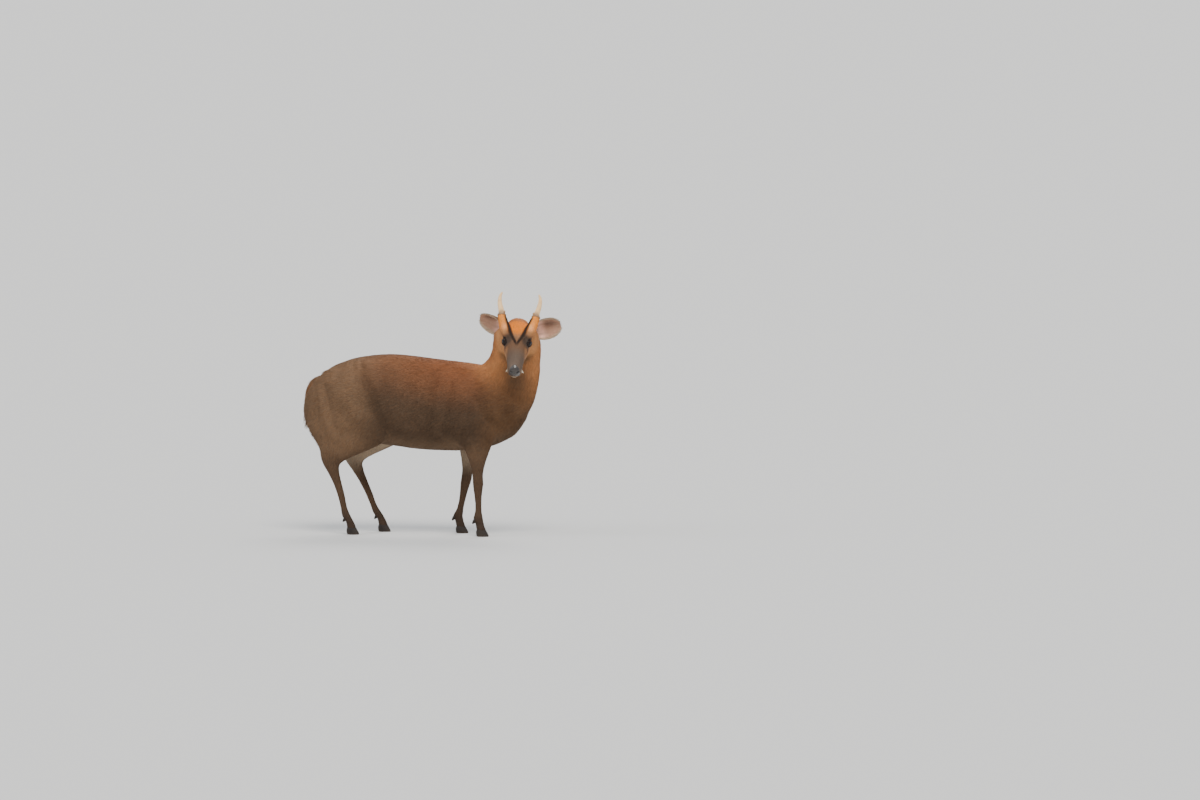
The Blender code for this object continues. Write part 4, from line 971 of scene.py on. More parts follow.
def chartOf(part, points):
    # Unwraps the skin of one part round its own long axis.
    x, y, z = points.T
    if part == "torso":
        angle, along = np.arctan2(y, z - 36.0), (x + 34.0) / 64.0
    elif part == "neck":
        rows = np.array(trunk["neck"])
        centre = np.interp(z, rows[:, 0], (rows[:, 1] + rows[:, 2]) / 2)
        angle, along = np.arctan2(y - np.interp(z, rows[:, 0], rows[:, 3]), centre - x), (z - 24) / 35
    elif part == "head":
        alongFace, out, up = headPlace(points)
        angle, along = np.arctan2(out, up + 1.8), (alongFace + 10) / 22
    elif part == "tail":
        angle, along = np.arctan2(y, -(x + 32.2)), (z - 28) / 16
    else:
        rows = legRows(part)
        centreX = np.interp(z, rows[:, 0], rows[:, 1])
        centreY = np.interp(z, rows[:, 0], rows[:, 2])
        angle, along = np.arctan2(y - centreY, x - centreX), z / 32
    return np.column_stack([0.01 + 0.98 * (angle / (2 * math.pi) + 0.5),
                            0.01 + 0.98 * np.clip(along, 0, 1)])


def nodeMaterial(name, roughness, **constants):
    material = bpy.data.materials.new(name)
    material.use_nodes = True
    shader = material.node_tree.nodes["Principled BSDF"]
    shader.inputs["Roughness"].default_value = roughness
    for key, value in constants.items():
        shader.inputs[key.replace("_", " ")].default_value = value
    return material, material.node_tree, shader


def addNode(tree, kind, **values):
    node = tree.nodes.new(kind)
    for key, value in values.items():
        if hasattr(node, key):
            setattr(node, key, value)
        else:
            node.inputs[key.replace("_", " ")].default_value = value
    return node


def strandGroup():
    # Fine streaks of lighter and darker hair, with a height for bump.
    group = bpy.data.node_groups.new("hairStreaks", "ShaderNodeTree")
    group.interface.new_socket("Colour", in_out="INPUT", socket_type="NodeSocketColor")
    for label, value in (("Scale", 900.0), ("Amount", 0.25)):
        socket = group.interface.new_socket(label, in_out="INPUT", socket_type="NodeSocketFloat")
        socket.default_value = value
    group.interface.new_socket("Colour", in_out="OUTPUT", socket_type="NodeSocketColor")
    group.interface.new_socket("Height", in_out="OUTPUT", socket_type="NodeSocketFloat")
    entry, leave = group.nodes.new("NodeGroupInput"), group.nodes.new("NodeGroupOutput")
    coords = group.nodes.new("ShaderNodeTexCoord")
    fine = addNode(group, "ShaderNodeTexNoise", Detail=3.0, Roughness=0.6)
    broad = addNode(group, "ShaderNodeTexNoise", Scale=70.0, Detail=3.0)
    group.links.new(coords.outputs["Object"], fine.inputs["Vector"])
    group.links.new(coords.outputs["Object"], broad.inputs["Vector"])
    group.links.new(entry.outputs["Scale"], fine.inputs["Scale"])
    both = addNode(group, "ShaderNodeMath", operation="ADD")
    group.links.new(fine.outputs["Fac"], both.inputs[0])
    group.links.new(broad.outputs["Fac"], both.inputs[1])
    centred = addNode(group, "ShaderNodeMath", operation="SUBTRACT")
    centred.inputs[1].default_value = 1.0
    group.links.new(both.outputs[0], centred.inputs[0])
    scaled = addNode(group, "ShaderNodeMath", operation="MULTIPLY_ADD")
    scaled.inputs[2].default_value = 1.0
    group.links.new(centred.outputs[0], scaled.inputs[0])
    group.links.new(entry.outputs["Amount"], scaled.inputs[1])
    tinted = addNode(group, "ShaderNodeVectorMath", operation="SCALE")
    group.links.new(entry.outputs["Colour"], tinted.inputs[0])
    group.links.new(scaled.outputs[0], tinted.inputs["Scale"])
    group.links.new(tinted.outputs[0], leave.inputs["Colour"])
    group.links.new(fine.outputs["Fac"], leave.inputs["Height"])
    return group


def attributeFinish(name, group, roughness, scale, amount, bump=0.0, **constants):
    # A finish whose colour is painted on the mesh and broken up by fine streaks.
    material, tree, shader = nodeMaterial(name, roughness, **constants)
    painted = addNode(tree, "ShaderNodeAttribute", attribute_name="coatColour")
    streaks = addNode(tree, "ShaderNodeGroup", node_tree=group)
    streaks.inputs["Scale"].default_value = scale
    streaks.inputs["Amount"].default_value = amount
    tree.links.new(painted.outputs["Color"], streaks.inputs["Colour"])
    tree.links.new(streaks.outputs["Colour"], shader.inputs["Base Color"])
    if bump:
        raised = addNode(tree, "ShaderNodeBump", Strength=bump, Distance=0.0008)
        tree.links.new(streaks.outputs["Height"], raised.inputs["Height"])
        tree.links.new(raised.outputs["Normal"], shader.inputs["Normal"])
    return material


streakGroup = strandGroup()


def addWetness(material):
    # Gloss and a pebbled surface where the mesh is marked as wet.
    tree = material.node_tree
    shader, raised = tree.nodes["Principled BSDF"], tree.nodes["Bump"]
    mask = addNode(tree, "ShaderNodeAttribute", attribute_name="wet")
    gloss = tree.nodes.new("ShaderNodeMapRange")
    gloss.inputs["To Min"].default_value = 0.7
    gloss.inputs["To Max"].default_value = 0.34
    tree.links.new(mask.outputs["Fac"], gloss.inputs["Value"])
    tree.links.new(gloss.outputs["Result"], shader.inputs["Roughness"])
    film = addNode(tree, "ShaderNodeMath", operation="MULTIPLY")
    film.inputs[1].default_value = 1.0
    tree.links.new(mask.outputs["Fac"], film.inputs[0])
    tree.links.new(film.outputs[0], shader.inputs["Coat Weight"])
    coords = tree.nodes.new("ShaderNodeTexCoord")
    pebbles = addNode(tree, "ShaderNodeTexVoronoi", Scale=950.0)
    tree.links.new(coords.outputs["Object"], pebbles.inputs["Vector"])
    leather = addNode(tree, "ShaderNodeMath", operation="MULTIPLY")
    tree.links.new(pebbles.outputs["Distance"], leather.inputs[0])
    tree.links.new(mask.outputs["Fac"], leather.inputs[1])
    both = addNode(tree, "ShaderNodeMath", operation="SUBTRACT")
    tree.links.new(raised.inputs["Height"].links[0].from_socket, both.inputs[0])
    tree.links.new(leather.outputs[0], both.inputs[1])
    tree.links.new(both.outputs[0], raised.inputs["Height"])
    return material


def lockFinish(name, roughness, amount, **constants):
    # Each tuft reads as a lock of fine hairs that run from its root to its tip.
    material, tree, shader = nodeMaterial(name, roughness, **constants)
    painted = addNode(tree, "ShaderNodeAttribute", attribute_name="coatColour")
    strand = addNode(tree, "ShaderNodeAttribute", attribute_name="strand")
    spread = addNode(tree, "ShaderNodeVectorMath", operation="MULTIPLY")
    spread.inputs[1].default_value = (3.6, 0.9, 71.0)
    tree.links.new(strand.outputs["Vector"], spread.inputs[0])
    hairs = addNode(tree, "ShaderNodeTexNoise", Scale=1.0, Detail=2.0, Roughness=0.6)
    tree.links.new(spread.outputs[0], hairs.inputs["Vector"])
    tone = tree.nodes.new("ShaderNodeMapRange")
    for key, value in (("From Min", 0.3), ("From Max", 0.7), ("To Min", 1 - amount),
                       ("To Max", 1 + amount)):
        tone.inputs[key].default_value = value
    tree.links.new(hairs.outputs["Fac"], tone.inputs["Value"])
    tinted = addNode(tree, "ShaderNodeVectorMath", operation="SCALE")
    tree.links.new(painted.outputs["Color"], tinted.inputs[0])
    tree.links.new(tone.outputs["Result"], tinted.inputs["Scale"])
    tree.links.new(tinted.outputs[0], shader.inputs["Base Color"])
    raised = addNode(tree, "ShaderNodeBump", Strength=0.35, Distance=0.0003)
    tree.links.new(hairs.outputs["Fac"], raised.inputs["Height"])
    tree.links.new(raised.outputs["Normal"], shader.inputs["Normal"])
    return material


skinFinish = addWetness(attributeFinish("coatSkin", streakGroup, 0.7, 900.0, 0.5, 0.6,
                                        Specular_IOR_Level=0.25, Coat_Roughness=0.22))
hairFinish = lockFinish("coatHair", 0.65, 0.3, Specular_IOR_Level=0.14)

skinMesh = buildSkin()
skinPoints, skinEdges = arraysOf(skinMesh)
skinNormals = normalsOf(skinMesh)
skinShares = sharesOf(skinPoints)
print("skin:", len(skinMesh.vertices), "points")

skinColours = coatColour(skinPoints, skinNormals, skinShares)
skinFaces = [tuple(p.vertices) for p in skinMesh.polygons]
skin = makeObject("skin", skinPoints, skinFaces, skinFinish)
addColour(skin, skinColours * (0.92 + 0.08 * nosePadShare(skinPoints))[:, None])
wet = np.clip(nosePadShare(skinPoints), 0, 1) * (skinShares["head"] > 0.3)
skin.data.attributes.new("wet", "FLOAT", "POINT").data.foreach_set("value", wet)
fleshNodes = ["torso", "neck", "head", "tail"] + ["leg_" + name for name in legs["stance"]]
carry(skin, "coat", *fleshNodes)


def coatDensity(points, normals):
    shares = sharesOf(points)
    return coatSize(shares, points, "dense") * (1 - np.clip(bareShare(points), 0, 1))


def growCoat():
    roots, normals = scatter(skinMesh, coatDensity)
    shares = sharesOf(roots)
    ways = lieOfCoat(roots, normals, shares)
    roots = spreadOut(roots, normals, ways, coatSize(shares, roots, "dense"))
    keep = np.clip(bareShare(roots), 0, 1) < 0.6
    roots, normals, ways = roots[keep], normals[keep], ways[keep]
    shares = sharesOf(roots)
    vary = np.exp(rng.normal(0, 0.15, len(roots)))
    length = coatSize(shares, roots, "length") * vary
    width = coatSize(shares, roots, "width") * np.exp(rng.normal(0, 0.2, len(roots)))
    height = coatSize(shares, roots, "depth") * np.exp(rng.normal(0, 0.12, len(roots)))
    rise = coatSize(shares, roots, "rise")
    colours = coatColour(roots, normals, shares)
    colours = colours * np.exp(rng.normal(0, 0.09, len(roots)))[:, None]
    colours = colours * (1 + rng.normal(0, 0.04, len(roots))[:, None] * np.array([1.0, 0.0, -1.0]))
    names = ["head", "neck", "torso", "tail", "leg"]
    label = np.argmax(np.stack([shares[n] for n in names]), axis=0)
    legLabel = np.where(roots[:, 0] > -2, 0, 2) + (roots[:, 1] > 0)
    for i, part in enumerate(names):
        if part == "leg":
            groups = [(name, (label == i) & (legLabel == k)) for k, name in
                      enumerate(("front_right", "front_left", "hind_right", "hind_left"))]
        else:
            groups = [(part, label == i)]
        for chart, chosen in groups:
            index = np.flatnonzero(chosen)
            pieces = max(1, math.ceil(len(index) / coat["pieceTufts"]))
            for k in range(pieces):
                own = index[k::pieces]
                name = "coat_" + chart + ("_%d" % (k + 1) if pieces > 1 else "")
                growTufts(name, roots[own], normals[own], ways[own],
                          (length[own], width[own], height[own], rise[own]), colours[own],
                          chartOf(chart, roots[own]), hairFinish, "coat")
    return len(roots)


print("coat:", growCoat(), "tufts")


ear = {
    "root": (-5.9, 3.2, -1.3),
    "length": 8.75,
    "width": 5.9,
    "wall": 0.2,
    "bow": 0.5,
    # lift, sweep to the back, turn on its own length
    "pose": {"right": (22.0, 24.0, 36.0), "left": (18.0, 6.0, 6.0)},
    "shape": (
        (0.0, 0.42), (0.1, 0.52), (0.25, 0.8), (0.4, 0.96), (0.55, 1.0), (0.7, 0.96),
        (0.82, 0.84), (0.91, 0.64), (0.97, 0.4), (1.0, 0.18),
    ),
    "folds": 0.16,
    "hair": {"dense": 60.0, "length": 0.5, "width": 0.055, "depth": 0.07, "rise": 0.7},
    "fringe": {"dense": 85.0, "length": 0.75, "width": 0.033, "depth": 0.16, "rise": 0.9},
}


def earAxes(side, word):
    lift, sweep, turn = (math.radians(a) for a in ear["pose"][word])
    ahead = unit(np.array([faceAxis[0], faceAxis[1], 0.0]))
    axis = unit(side * leftAxis * math.cos(lift) + np.array([0, 0, math.sin(lift)])
                - math.tan(sweep) * ahead)
    facing = unit(ahead - axis * ahead.dot(axis))
    facing = np.array(Matrix.Rotation(turn * side, 3, Vector(axis)) @ Vector(facing))
    return axis, facing, np.cross(axis, facing)


def buildEar(side, word):
    # A cupped leaf: each point also knows its place along and across, and if it is inside.
    axis, facing, across = earAxes(side, word)
    root = onHead(ear["root"][0], side * ear["root"][1], ear["root"][2])
    count, rings, places = 30, [], []
    stations = np.concatenate([np.linspace(0, 0.9, 34), np.linspace(0.915, 0.995, 10)])
    for s in stations:
        half = ear["width"] / 2 * np.interp(s, *zip(*ear["shape"]))
        bend = math.radians(np.interp(s, (0, 0.25, 0.6, 1), (100, 90, 74, 50)))
        reach = half / math.sin(min(bend, math.pi / 2))
        theta = np.linspace(-bend, bend, count)
        spread = theta / bend
        edge = np.clip(1 - np.abs(spread) ** 6, 0.25, 1)
        wall = min(ear["wall"], half * 0.6) * edge
        solid = np.clip(1 - (s - 0.02) / 0.1, 0, 1)
        fold = ear["folds"] * np.cos(spread * 9.0) * np.sin(math.pi * min(s * 1.15, 1)) * (1 - spread**4)
        centreIn = reach * math.cos(bend)
        outer = np.column_stack([reach * np.sin(theta), centreIn - reach * np.cos(theta)])
        near = reach - wall + fold * 0.6
        inner = np.column_stack([near * np.sin(theta), centreIn - near * np.cos(theta)])
        lid = np.column_stack([near * np.sin(theta) * 0.96, 0.1 * half * np.cos(theta)])
        inner = inner * (1 - solid) + lid * solid
        flat = np.vstack([outer, inner[::-1]])
        centre = root + axis * s * ear["length"] + facing * ear["bow"] * 4 * s * (1 - s)
        rings.append(centre + np.outer(flat[:, 0], across) + np.outer(flat[:, 1], facing))
        spreads = np.concatenate([spread, spread[::-1]])
        places.append(np.column_stack([np.full(2 * count, s), spreads, np.repeat([0.0, 1.0], count)]))
    places = np.vstack(places + [[[0, 0, 0]], [[1, 0, 0]]])
    points, faces = loft(rings)
    return points, faces, places, (axis, facing, across)


def earColour(places, side):
    s, spread, inside = places.T
    back = mixed(hues["earBack"], hues["cheek"], 0.6 * smoothstep(0.45, 0.0, s))
    # The base of the cup: its own pink, painted brighter as if lit through the thin ear.
    cup = mixed(hues["earPinkAndGlow"], hues["earSkin"], smoothstep(0.28, 0.62, s))
    upper = -side * spread
    # Painted shade in the upper hollow of the cup.
    hollowShade = np.exp(-(((upper - 0.3) / 0.34) ** 2)) * smoothstep(0.38, 0.6, s) * smoothstep(0.97, 0.8, s)
    cup = mixed(cup, hues["earHollowShade"], 0.7 * hollowShade)
    # Painted shade along the creases of the folds.
    folds = np.exp(-(((np.abs(spread) - 0.35) / 0.1) ** 2)) * smoothstep(0.8, 0.3, s)
    cup = cup * (1 - 0.3 * folds)[:, None]
    cup = mixed(cup, hues["earHair"], 0.75 * smoothstep(0.7, 0.95, np.abs(spread)))
    colour = mixed(back, cup, inside)
    return mixed(colour, hues["earHair"], 0.6 * smoothstep(0.93, 1.0, np.abs(spread)) * smoothstep(0.1, 0.3, s))


def nearestPlaces(points, places, targets):
    # Reads each target's place on the ear off the nearest ear point.
    tree = KDTree(len(points))
    for i, point in enumerate(points):
        tree.insert(point, i)
    tree.balance()
    return np.array([places[tree.find(t)[1]] for t in targets])


def growEarHair(side, word, mesh, points, places, axes):
    axis, facing, across = axes
    for kind, on in (("hair", 0.0), ("fringe", 1.0)):
        sizes = ear[kind]
        roots, normals = scatter(mesh, lambda p, n: np.full(len(p), sizes["dense"]))
        spots = nearestPlaces(points, places, roots)
        s, spread, inside = spots.T
        if kind == "hair":
            keep = (inside < 0.5) & (s > 0.02) & (s < 0.985) & (np.abs(spread) < 0.97)
            way = axis + across * (0.35 * spread)[:, None]
        else:
            rim = smoothstep(0.55, 0.95, np.abs(spread))
            chance = np.clip(0.02 + rim**2 + 0.4 * smoothstep(0.35, 0.1, s), 0, 1)
            keep = (inside > 0.5) & (rng.random(len(s)) < chance) & (s > 0.06) & (s < 0.97)
            way = axis * 0.9 - across * (0.6 * spread)[:, None] + facing * 0.35
        way = unit(way - 0.8 * normals * np.sum(way * normals, axis=1, keepdims=True))
        index = np.flatnonzero(keep)
        vary = np.exp(rng.normal(0, 0.2, (3, len(index))))
        size = [np.full(len(index), sizes[k]) * v for k, v in zip(("length", "width", "depth"), vary)]
        size.append(np.full(len(index), sizes["rise"]))
        tone = np.exp(rng.normal(0, 0.14, len(index)))[:, None]
        colours = earColour(spots, side)[index] if kind == "hair" else np.tile(hues["earHair"], (len(index), 1))
        chart = np.column_stack([0.02 + 0.46 * (spread[index] + 1) / 2 + 0.5 * on, 0.02 + 0.96 * s[index]])
        growTufts("coat_ear_" + word + "_" + kind, roots[index], normals[index], way[index], size,
                  colours * tone, chart, hairFinish, "ear")


for side, word in ((-1.0, "right"), (1.0, "left")):
    points, faces, places, axes = buildEar(side, word)
    leaf = makeObject("earLeaf_" + word, points, faces, skinFinish)
    addColour(leaf, earColour(places, side))
    carry(leaf, "ear", "ear_" + word)
    form = bpy.data.meshes.new("earForm")
    form.from_pydata(points.tolist(), [], faces)
    form.update()
    growEarHair(side, word, form, points, places, axes)
print("ears done")


def buildEyeBall(side):
    aim, length, height = eyeAxes(side)
    centre = onHead(0, side * eye["out"], 0)
    rings, marks = [], []
    steps = np.concatenate([np.linspace(0.002, 0.75, 34), np.linspace(0.8, math.pi - 0.05, 18)])
    for t in steps:
        bulge = eye["cornea"] * np.exp(-((t / 0.62) ** 4))
        reach = eye["radius"] + bulge
        middle = centre + aim * reach * math.cos(t)
        rings.append(ring(middle, length, height, reach * math.sin(t), reach * math.sin(t),
                          reach * math.sin(t), 2.0, 64))
        turn = np.arange(64) * 2 * math.pi / 64
        marks.append(np.column_stack([t * np.cos(turn), t * np.sin(turn)]))
    points, faces = loft(rings)
    a, b = np.vstack(marks + [[[0, 0]], [[3, 0]]]).T
    pupil = 1 - smoothstep(0.85, 1.1, (np.abs(a) / 0.52) ** 2.6 + (np.abs(b) / 0.32) ** 2.6)
    away = np.hypot(a, b)
    white = smoothstep(0.82, 0.9, away)
    streak = 0.8 + 0.35 * np.sin(np.arctan2(b, a) * 23 + 2 * np.sin(np.arctan2(b, a) * 7))
    iris = np.array([0.030, 0.014, 0.008]) * (streak * (1.15 - 0.5 * away))[:, None]
    colour = mixed(iris, (0.003, 0.003, 0.004), pupil)
    colour = mixed(colour, (0.035, 0.022, 0.018), white)
    return points, faces, colour


def paintedFinish(name, roughness, **constants):
    material, tree, shader = nodeMaterial(name, roughness, **constants)
    painted = addNode(tree, "ShaderNodeAttribute", attribute_name="coatColour")
    tree.links.new(painted.outputs["Color"], shader.inputs["Base Color"])
    return material, tree, shader


def wetEyeFinish():
    material, tree, shader = paintedFinish("wetEye", 0.05, Specular_IOR_Level=0.24)
    coords = tree.nodes.new("ShaderNodeTexCoord")
    veins = addNode(tree, "ShaderNodeTexNoise", Scale=420.0, Detail=2.0)
    tree.links.new(coords.outputs["Object"], veins.inputs["Vector"])
    spread = tree.nodes.new("ShaderNodeMapRange")
    spread.inputs["To Min"].default_value = 0.02
    spread.inputs["To Max"].default_value = 0.07
    tree.links.new(veins.outputs["Fac"], spread.inputs["Value"])
    tree.links.new(spread.outputs["Result"], shader.inputs["Roughness"])
    return material


def boneFinish(name, roughness, scale, low, high, bump, **constants):
    # Painted bone or horn with fine grain in its colour, gloss and surface.
    material, tree, shader = nodeMaterial(name, roughness, **constants)
    painted = addNode(tree, "ShaderNodeAttribute", attribute_name="coatColour")
    grain = addNode(tree, "ShaderNodeGroup", node_tree=streakGroup)
    grain.inputs["Scale"].default_value = scale
    grain.inputs["Amount"].default_value = 0.45
    tree.links.new(painted.outputs["Color"], grain.inputs["Colour"])
    tree.links.new(grain.outputs["Colour"], shader.inputs["Base Color"])
    gloss = tree.nodes.new("ShaderNodeMapRange")
    gloss.inputs["To Min"].default_value = low
    gloss.inputs["To Max"].default_value = high
    tree.links.new(grain.outputs["Height"], gloss.inputs["Value"])
    tree.links.new(gloss.outputs["Result"], shader.inputs["Roughness"])
    raised = addNode(tree, "ShaderNodeBump", Strength=bump, Distance=0.0006)
    tree.links.new(grain.outputs["Height"], raised.inputs["Height"])
    tree.links.new(raised.outputs["Normal"], shader.inputs["Normal"])
    return material


fineHair = {
    "lashes": 26,
    "lash": (0.5, 0.028, 0.16, 0.95),  # length, width, bend and the tip's share of it
    "whiskers": 14,
    "whisker": (2.0, 0.022, 0.3, 0.95),
    "colour": (0.030, 0.020, 0.015),
}


def growFineHair(side, word):
    # Lashes along the upper lid and a few long whiskers beside the lips.
    aim, length, height = eyeAxes(side)
    turn = np.linspace(0.25, 0.85, fineHair["lashes"]) * math.pi
    flat = np.outer(np.cos(turn) * eye["halfLength"], length) + np.outer(np.sin(turn) * eye["halfHeight"], height)
    rise = np.sqrt(np.maximum(eye["radius"] ** 2 - np.sum(flat**2, axis=1), 0.02))
    ray = unit(flat * 1.06 + rise[:, None] * aim)
    lashRoots = onHead(0, side * eye["out"], 0) + ray * (eye["radius"] + 0.1)
    lashWays = unit(aim + height * 0.35 + unit(flat) * 0.25)
    spots = rng.random((fineHair["whiskers"], 3)) * (2.0, 0.4, 1.2) + (7.6, 1.5, -2.9)
    targets = np.array([onHead(a, side * o, u) for a, o, u in spots])
    index = [int(np.argmin(np.linalg.norm(skinPoints - target, axis=1))) for target in targets]
    outward = skinNormals[index]
    whiskerWays = unit(outward * 0.9 - faceAxis * 0.55 - crownAxis * 0.3 + rng.normal(0, 0.12, outward.shape))
    for kind, roots, ways, bend in (("lash", lashRoots, lashWays, height), ("whisker", skinPoints[index],
                                                                            whiskerWays, -crownAxis)):
        normals = unit(bend - ways * (ways @ bend)[:, None])
        vary = np.exp(rng.normal(0, 0.15, len(roots)))
        size = [np.full(len(roots), value) * vary for value in fineHair[kind]]
        growTufts("coat_" + kind + "_" + word, roots, normals, ways, size,
                  np.tile(fineHair["colour"], (len(roots), 1)), chartOf("head", roots), hairFinish, "coat")


eyeFinish = wetEyeFinish()
antlerFinish = boneFinish("antlerBone", 0.5, 420.0, 0.35, 0.65, 0.5)
hornFinish = boneFinish("hoofHorn", 0.45, 520.0, 0.4, 0.65, 0.4, Specular_IOR_Level=0.3)
ivoryFinish = boneFinish("tuskIvory", 0.3, 300.0, 0.2, 0.38, 0.15, Coat_Weight=0.3)

for side, word in ((-1.0, "right"), (1.0, "left")):
    points, faces, colour = buildEyeBall(side)
    ball = makeObject("eyeBall_" + word, points, faces, eyeFinish)
    addColour(ball, colour)
    carry(ball, "eye", "eye_" + word)
    growFineHair(side, word)

antler = {
    "length": 7.0,
    # share of the length, out and up from the burr, radius
    "beam": (
        (0.0, 0.0, 0.0, 1.0), (0.05, 0.03, 0.14, 1.14), (0.12, 0.08, 0.3, 0.84),
        (0.3, 0.4, 0.85, 0.68), (0.5, 0.72, 1.35, 0.6), (0.7, 0.88, 1.85, 0.5),
        (0.86, 0.78, 2.3, 0.38), (0.96, 0.5, 2.6, 0.26), (1.0, 0.34, 2.7, 0.12),
    ),
    # along, out and up from the burr, radius
    "stub": ((-0.4, -0.3, 0.5, 0.44), (-0.6, -0.6, 1.0, 0.34), (-0.8, -0.75, 1.35, 0.12)),
    "beads": 13,
    "grooves": 11,
    "ivory": (0.97, 0.62, 0.29),
    "brown": (0.30, 0.165, 0.078),
}


def buildAntler(side):
    root = np.array(head["burrRoot"])
    rows = np.array(antler["beam"])
    path = np.array([onHead(root[0] - antler["length"] * t, side * (root[1] + o), root[2] + b)
                     for t, o, b in rows[:, :3]])

    def flute(share, turn):
        beads = 0
        for k, place in enumerate((0.03, 0.065, 0.1)):
            size = 0.09 + 0.03 * np.cos(turn * 3 + 2 * k)
            beads = beads + size * np.abs(np.cos(turn * antler["beads"] / 2 + 0.8 * k)) * math.exp(
                -(((share - place) / 0.018) ** 2))
        fade = smoothstep(0.18, 0.28, share) * smoothstep(0.92, 0.6, share)
        wander = turn * antler["grooves"] + 2.2 * math.sin(share * 9 + side)
        grooves = 0.05 * np.cos(wander) + 0.03 * np.cos(turn * 5 - share * 12)
        knobs = 0.035 * np.cos(turn * 3 + share * 31) * np.cos(share * 57)
        return beads + (grooves + knobs) * fade

    beam = tube(path, rows[:, 3], 110, 90, flute)
    stubRows = np.array(antler["stub"])
    stubPath = np.array([onHead(root[0] + a, side * (root[1] + o), root[2] + u)
                         for a, o, u in stubRows[:, :3]])
    stub = tube(stubPath, stubRows[:, 3], 24, 16, lambda share, turn: 0.05 * np.cos(turn * 5))
    points, faces = merged([beam, stub])
    along, out, up = headPlace(points)
    share = (root[0] - along) / antler["length"]
    rough = ripple(points, 0.35, 77 + int(side))
    tone = np.clip(smoothstep(0.0, 0.26, share) + 0.14 * rough, 0, 1)
    colour = mixed(antler["brown"], antler["ivory"], tone)
    return points, faces, colour


for side, word in ((-1.0, "right"), (1.0, "left")):
    points, faces, colour = buildAntler(side)
    beam = makeObject("antlerBeam_" + word, points, faces, antlerFinish)
    addColour(beam, colour)
    carry(beam, "antler", "antler_" + word)

tusk = {
    "root": (7.6, 1.35, -3.0),
    "tip": (6.7, 2.4, -5.2),
    "radii": (0.3, 0.25, 0.05),
    "ivory": (0.72, 0.62, 0.44),
}

for side, word in ((-1.0, "right"), (1.0, "left")):
    root, tip = np.array(tusk["root"]), np.array(tusk["tip"])
    path = []
    for t in (0.0, 0.5, 1.0):
        along, out, up = root + (tip - root) * t + np.array([0.28, 0.12, 0]) * math.sin(t * math.pi)
        path.append(onHead(along, side * out, up))
    points, faces = tube(np.array(path), tusk["radii"], 24, 24)
    tooth = makeObject("tuskTooth_" + word, points, faces, ivoryFinish)
    stain = smoothstep(-3.9, -3.2, headPlace(points)[2])
    addColour(tooth, mixed(tusk["ivory"], (0.36, 0.24, 0.12), 0.6 * stain))
    carry(tooth, "ivory", "tusk_" + word)
print("eyes, antlers and tusks done")

hoof = {
    "cleft": 0.16,
    # height, toe, heel, width of one claw
    "rows": (
        (0.0, 2.75, -0.5, 0.96), (0.35, 2.68, -0.66, 1.0), (0.9, 2.42, -0.76, 1.02),
        (1.45, 2.08, -0.72, 1.0), (1.95, 1.78, -0.6, 0.9),
    ),
    "rings": 0.006,
    "dark": (0.020, 0.014, 0.011),
    "worn": (0.085, 0.060, 0.042),
    "dewclaw": (1.1, 0.38),
}


def buildClaw(footX, footY, side):
    rings = []
    for z, toe, heel, width in eased(hoof["rows"], 26):
        turn = np.linspace(0, math.pi, 33)
        waves = math.sin(z * 13) + 0.6 * math.sin(z * 29 + 1)
        ripples = 1 + hoof["rings"] * waves * smoothstep(0.1, 0.4, z)
        tuck = 1 - 0.05 * math.exp(-((z / 0.1) ** 2))
        along = heel + (toe - heel) * (0.5 + 0.5 * np.cos(turn)) * ripples * tuck
        point = np.interp(along, (heel, heel + 1.2, toe), (1.0, 1.05, 0.72))
        out = hoof["cleft"] / 2 + width * np.sin(turn) ** 0.8 * point * ripples * tuck
        inside = [(heel + (toe - heel) * share, hoof["cleft"] / 2) for share in np.linspace(0.1, 0.9, 9)]
        loop = np.array(list(zip(along, out)) + inside)
        rings.append(np.column_stack([footX + loop[:, 0], footY + side * loop[:, 1],
                                      np.full(len(loop), z)]))
    return loft(rings)


def buildDewclaw(footX, footY, side):
    length, half = hoof["dewclaw"]
    path = [(footX - 1.05 - 0.62 * t, footY + side * (0.55 + 0.1 * t), 4.55 - length * max(t, -0.2))
            for t in (-0.55, 0.2, 0.75, 1.0)]
    return tube(np.array(path), (half, half, half * 0.7, 0.1), 20, 16)


for name, (kind, footX, topX, footY) in legs["stance"].items():
    for side, word in ((-1.0, "right"), (1.0, "left")):
        for label, build in (("claw_", buildClaw), ("spur_", buildDewclaw)):
            points, faces = build(footX, footY, side)
            piece = makeObject(label + name + "_" + word, points, faces, hornFinish)
            worn = 0.6 * np.exp(-((points[:, 2] / 0.25) ** 2)) + 0.25 * (1 + ripple(points, 0.5, 3)) / 2
            addColour(piece, mixed(hoof["dark"], hoof["worn"], np.clip(worn, 0, 1)))
            piece.data.set_sharp_from_angle(angle=math.radians(45))
            node = ("hoof_" if label == "claw_" else "dewclaw_") + name + "_" + word
            carry(piece, "horn", node)
print("feet done")

studio = {
    "floor": (0.70, 0.69, 0.67),
    "floorRadius": 140.0,
    "world": (0.86, 0.92, 1.0),
    "worldStrength": 0.74,
    # azimuth and elevation in degrees, softness in degrees, strength, colour
    "suns": (
        ("key", 22.0, 54.0, 30.0, 2.35, (1.0, 0.96, 0.90)),
        ("fill", -60.0, 40.0, 40.0, 0.7, (0.92, 0.96, 1.0)),
        ("back", 175.0, 48.0, 30.0, 1.0, (1.0, 0.97, 0.93)),
    ),
}

view = {
    "azimuth": 12.0,  # degrees round from straight side-on
    "elevation": 4.0,
    "distance": 30.0,
    "metresAcross": 3.264,  # what the frame's width shows at the animal
    "animalAt": (425.0, 534.0),  # where the axes' origin stands in a frame of 1200 by 800
    "sensor": 36.0,
}


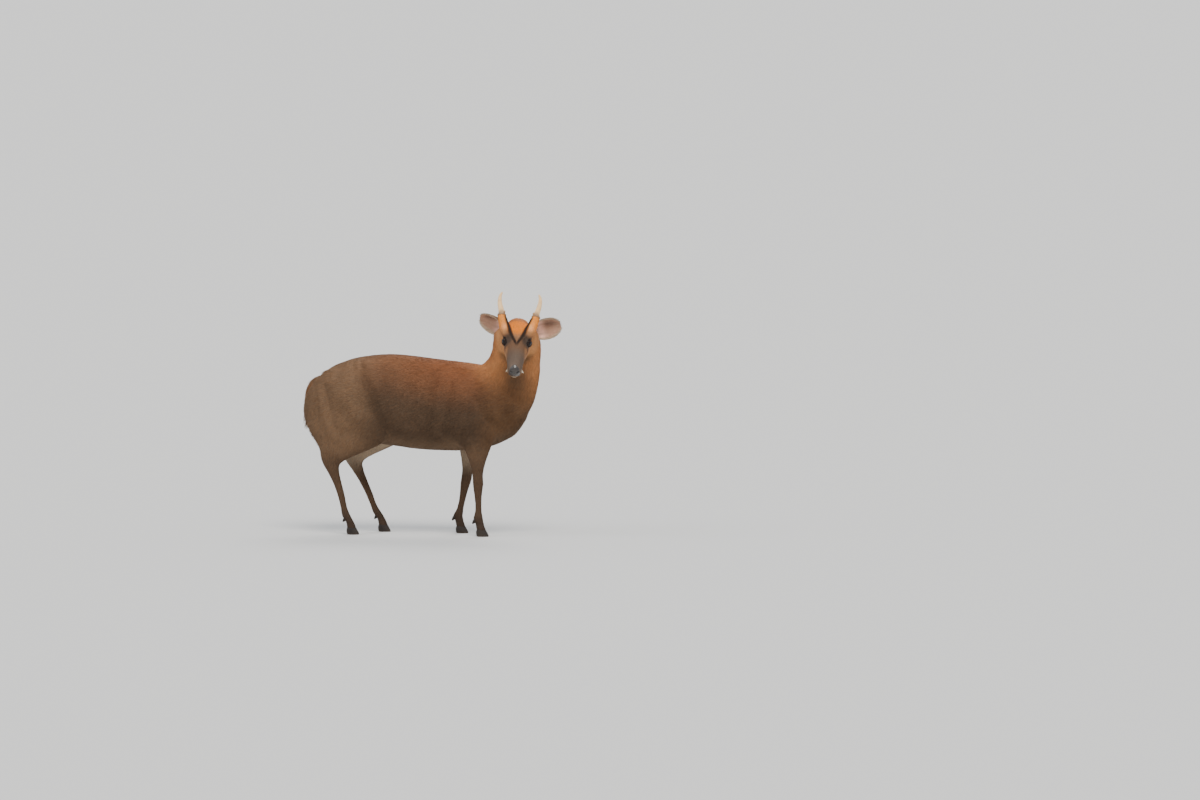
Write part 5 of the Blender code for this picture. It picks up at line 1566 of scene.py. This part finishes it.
def setCamera():
    azimuth, elevation = math.radians(view["azimuth"]), math.radians(view["elevation"])
    right = np.array([math.cos(azimuth), math.sin(azimuth), 0.0])
    back = np.array([math.sin(azimuth) * math.cos(elevation), -math.cos(azimuth) * math.cos(elevation),
                     math.sin(elevation)])
    up = np.cross(back, right)
    pixel = view["metresAcross"] / 1200
    aim = toWorld(np.zeros((1, 3)))[0]
    aim = aim + right * (600 - view["animalAt"][0]) * pixel + up * (view["animalAt"][1] - 400) * pixel
    data = bpy.data.cameras.new("camera")
    data.sensor_width = view["sensor"]
    data.lens = view["sensor"] * view["distance"] / view["metresAcross"]
    data.clip_end = 400.0
    camera = bpy.data.objects.new("camera", data)
    bpy.context.scene.collection.objects.link(camera)
    camera.matrix_world = Matrix((
        (right[0], up[0], back[0], aim[0] + back[0] * view["distance"]),
        (right[1], up[1], back[1], aim[1] + back[1] * view["distance"]),
        (right[2], up[2], back[2], aim[2] + back[2] * view["distance"]),
        (0, 0, 0, 1),
    ))
    bpy.context.scene.camera = camera


def setStudio():
    turn = np.arange(64) * 2 * math.pi / 64
    edge = np.column_stack([np.cos(turn), np.sin(turn), np.zeros(64)]) * studio["floorRadius"]
    floor = makeObject("floor", edge, [tuple(range(64))], smooth=False, world=False)
    material, tree, shader = nodeMaterial("paleFloor", 0.8)
    shader.inputs["Base Color"].default_value = (*studio["floor"], 1)
    floor.data.materials.append(material)
    for name, azimuth, elevation, softness, strength, colour in studio["suns"]:
        data = bpy.data.lights.new(name, "SUN")
        data.energy, data.angle, data.color = strength, math.radians(softness), colour
        lamp = bpy.data.objects.new(name, data)
        bpy.context.scene.collection.objects.link(lamp)
        turn, lift = math.radians(azimuth), math.radians(elevation)
        towards = Vector((math.sin(turn) * math.cos(lift), -math.cos(turn) * math.cos(lift),
                          math.sin(lift)))
        lamp.rotation_euler = towards.to_track_quat("Z", "Y").to_euler()
    world = bpy.data.worlds.new("paleWorld")
    bpy.context.scene.world = world
    world.use_nodes = True
    sky = world.node_tree.nodes["Background"]
    sky.inputs["Color"].default_value = (*studio["world"], 1)
    sky.inputs["Strength"].default_value = studio["worldStrength"]


setCamera()
setStudio()
print("studio done")
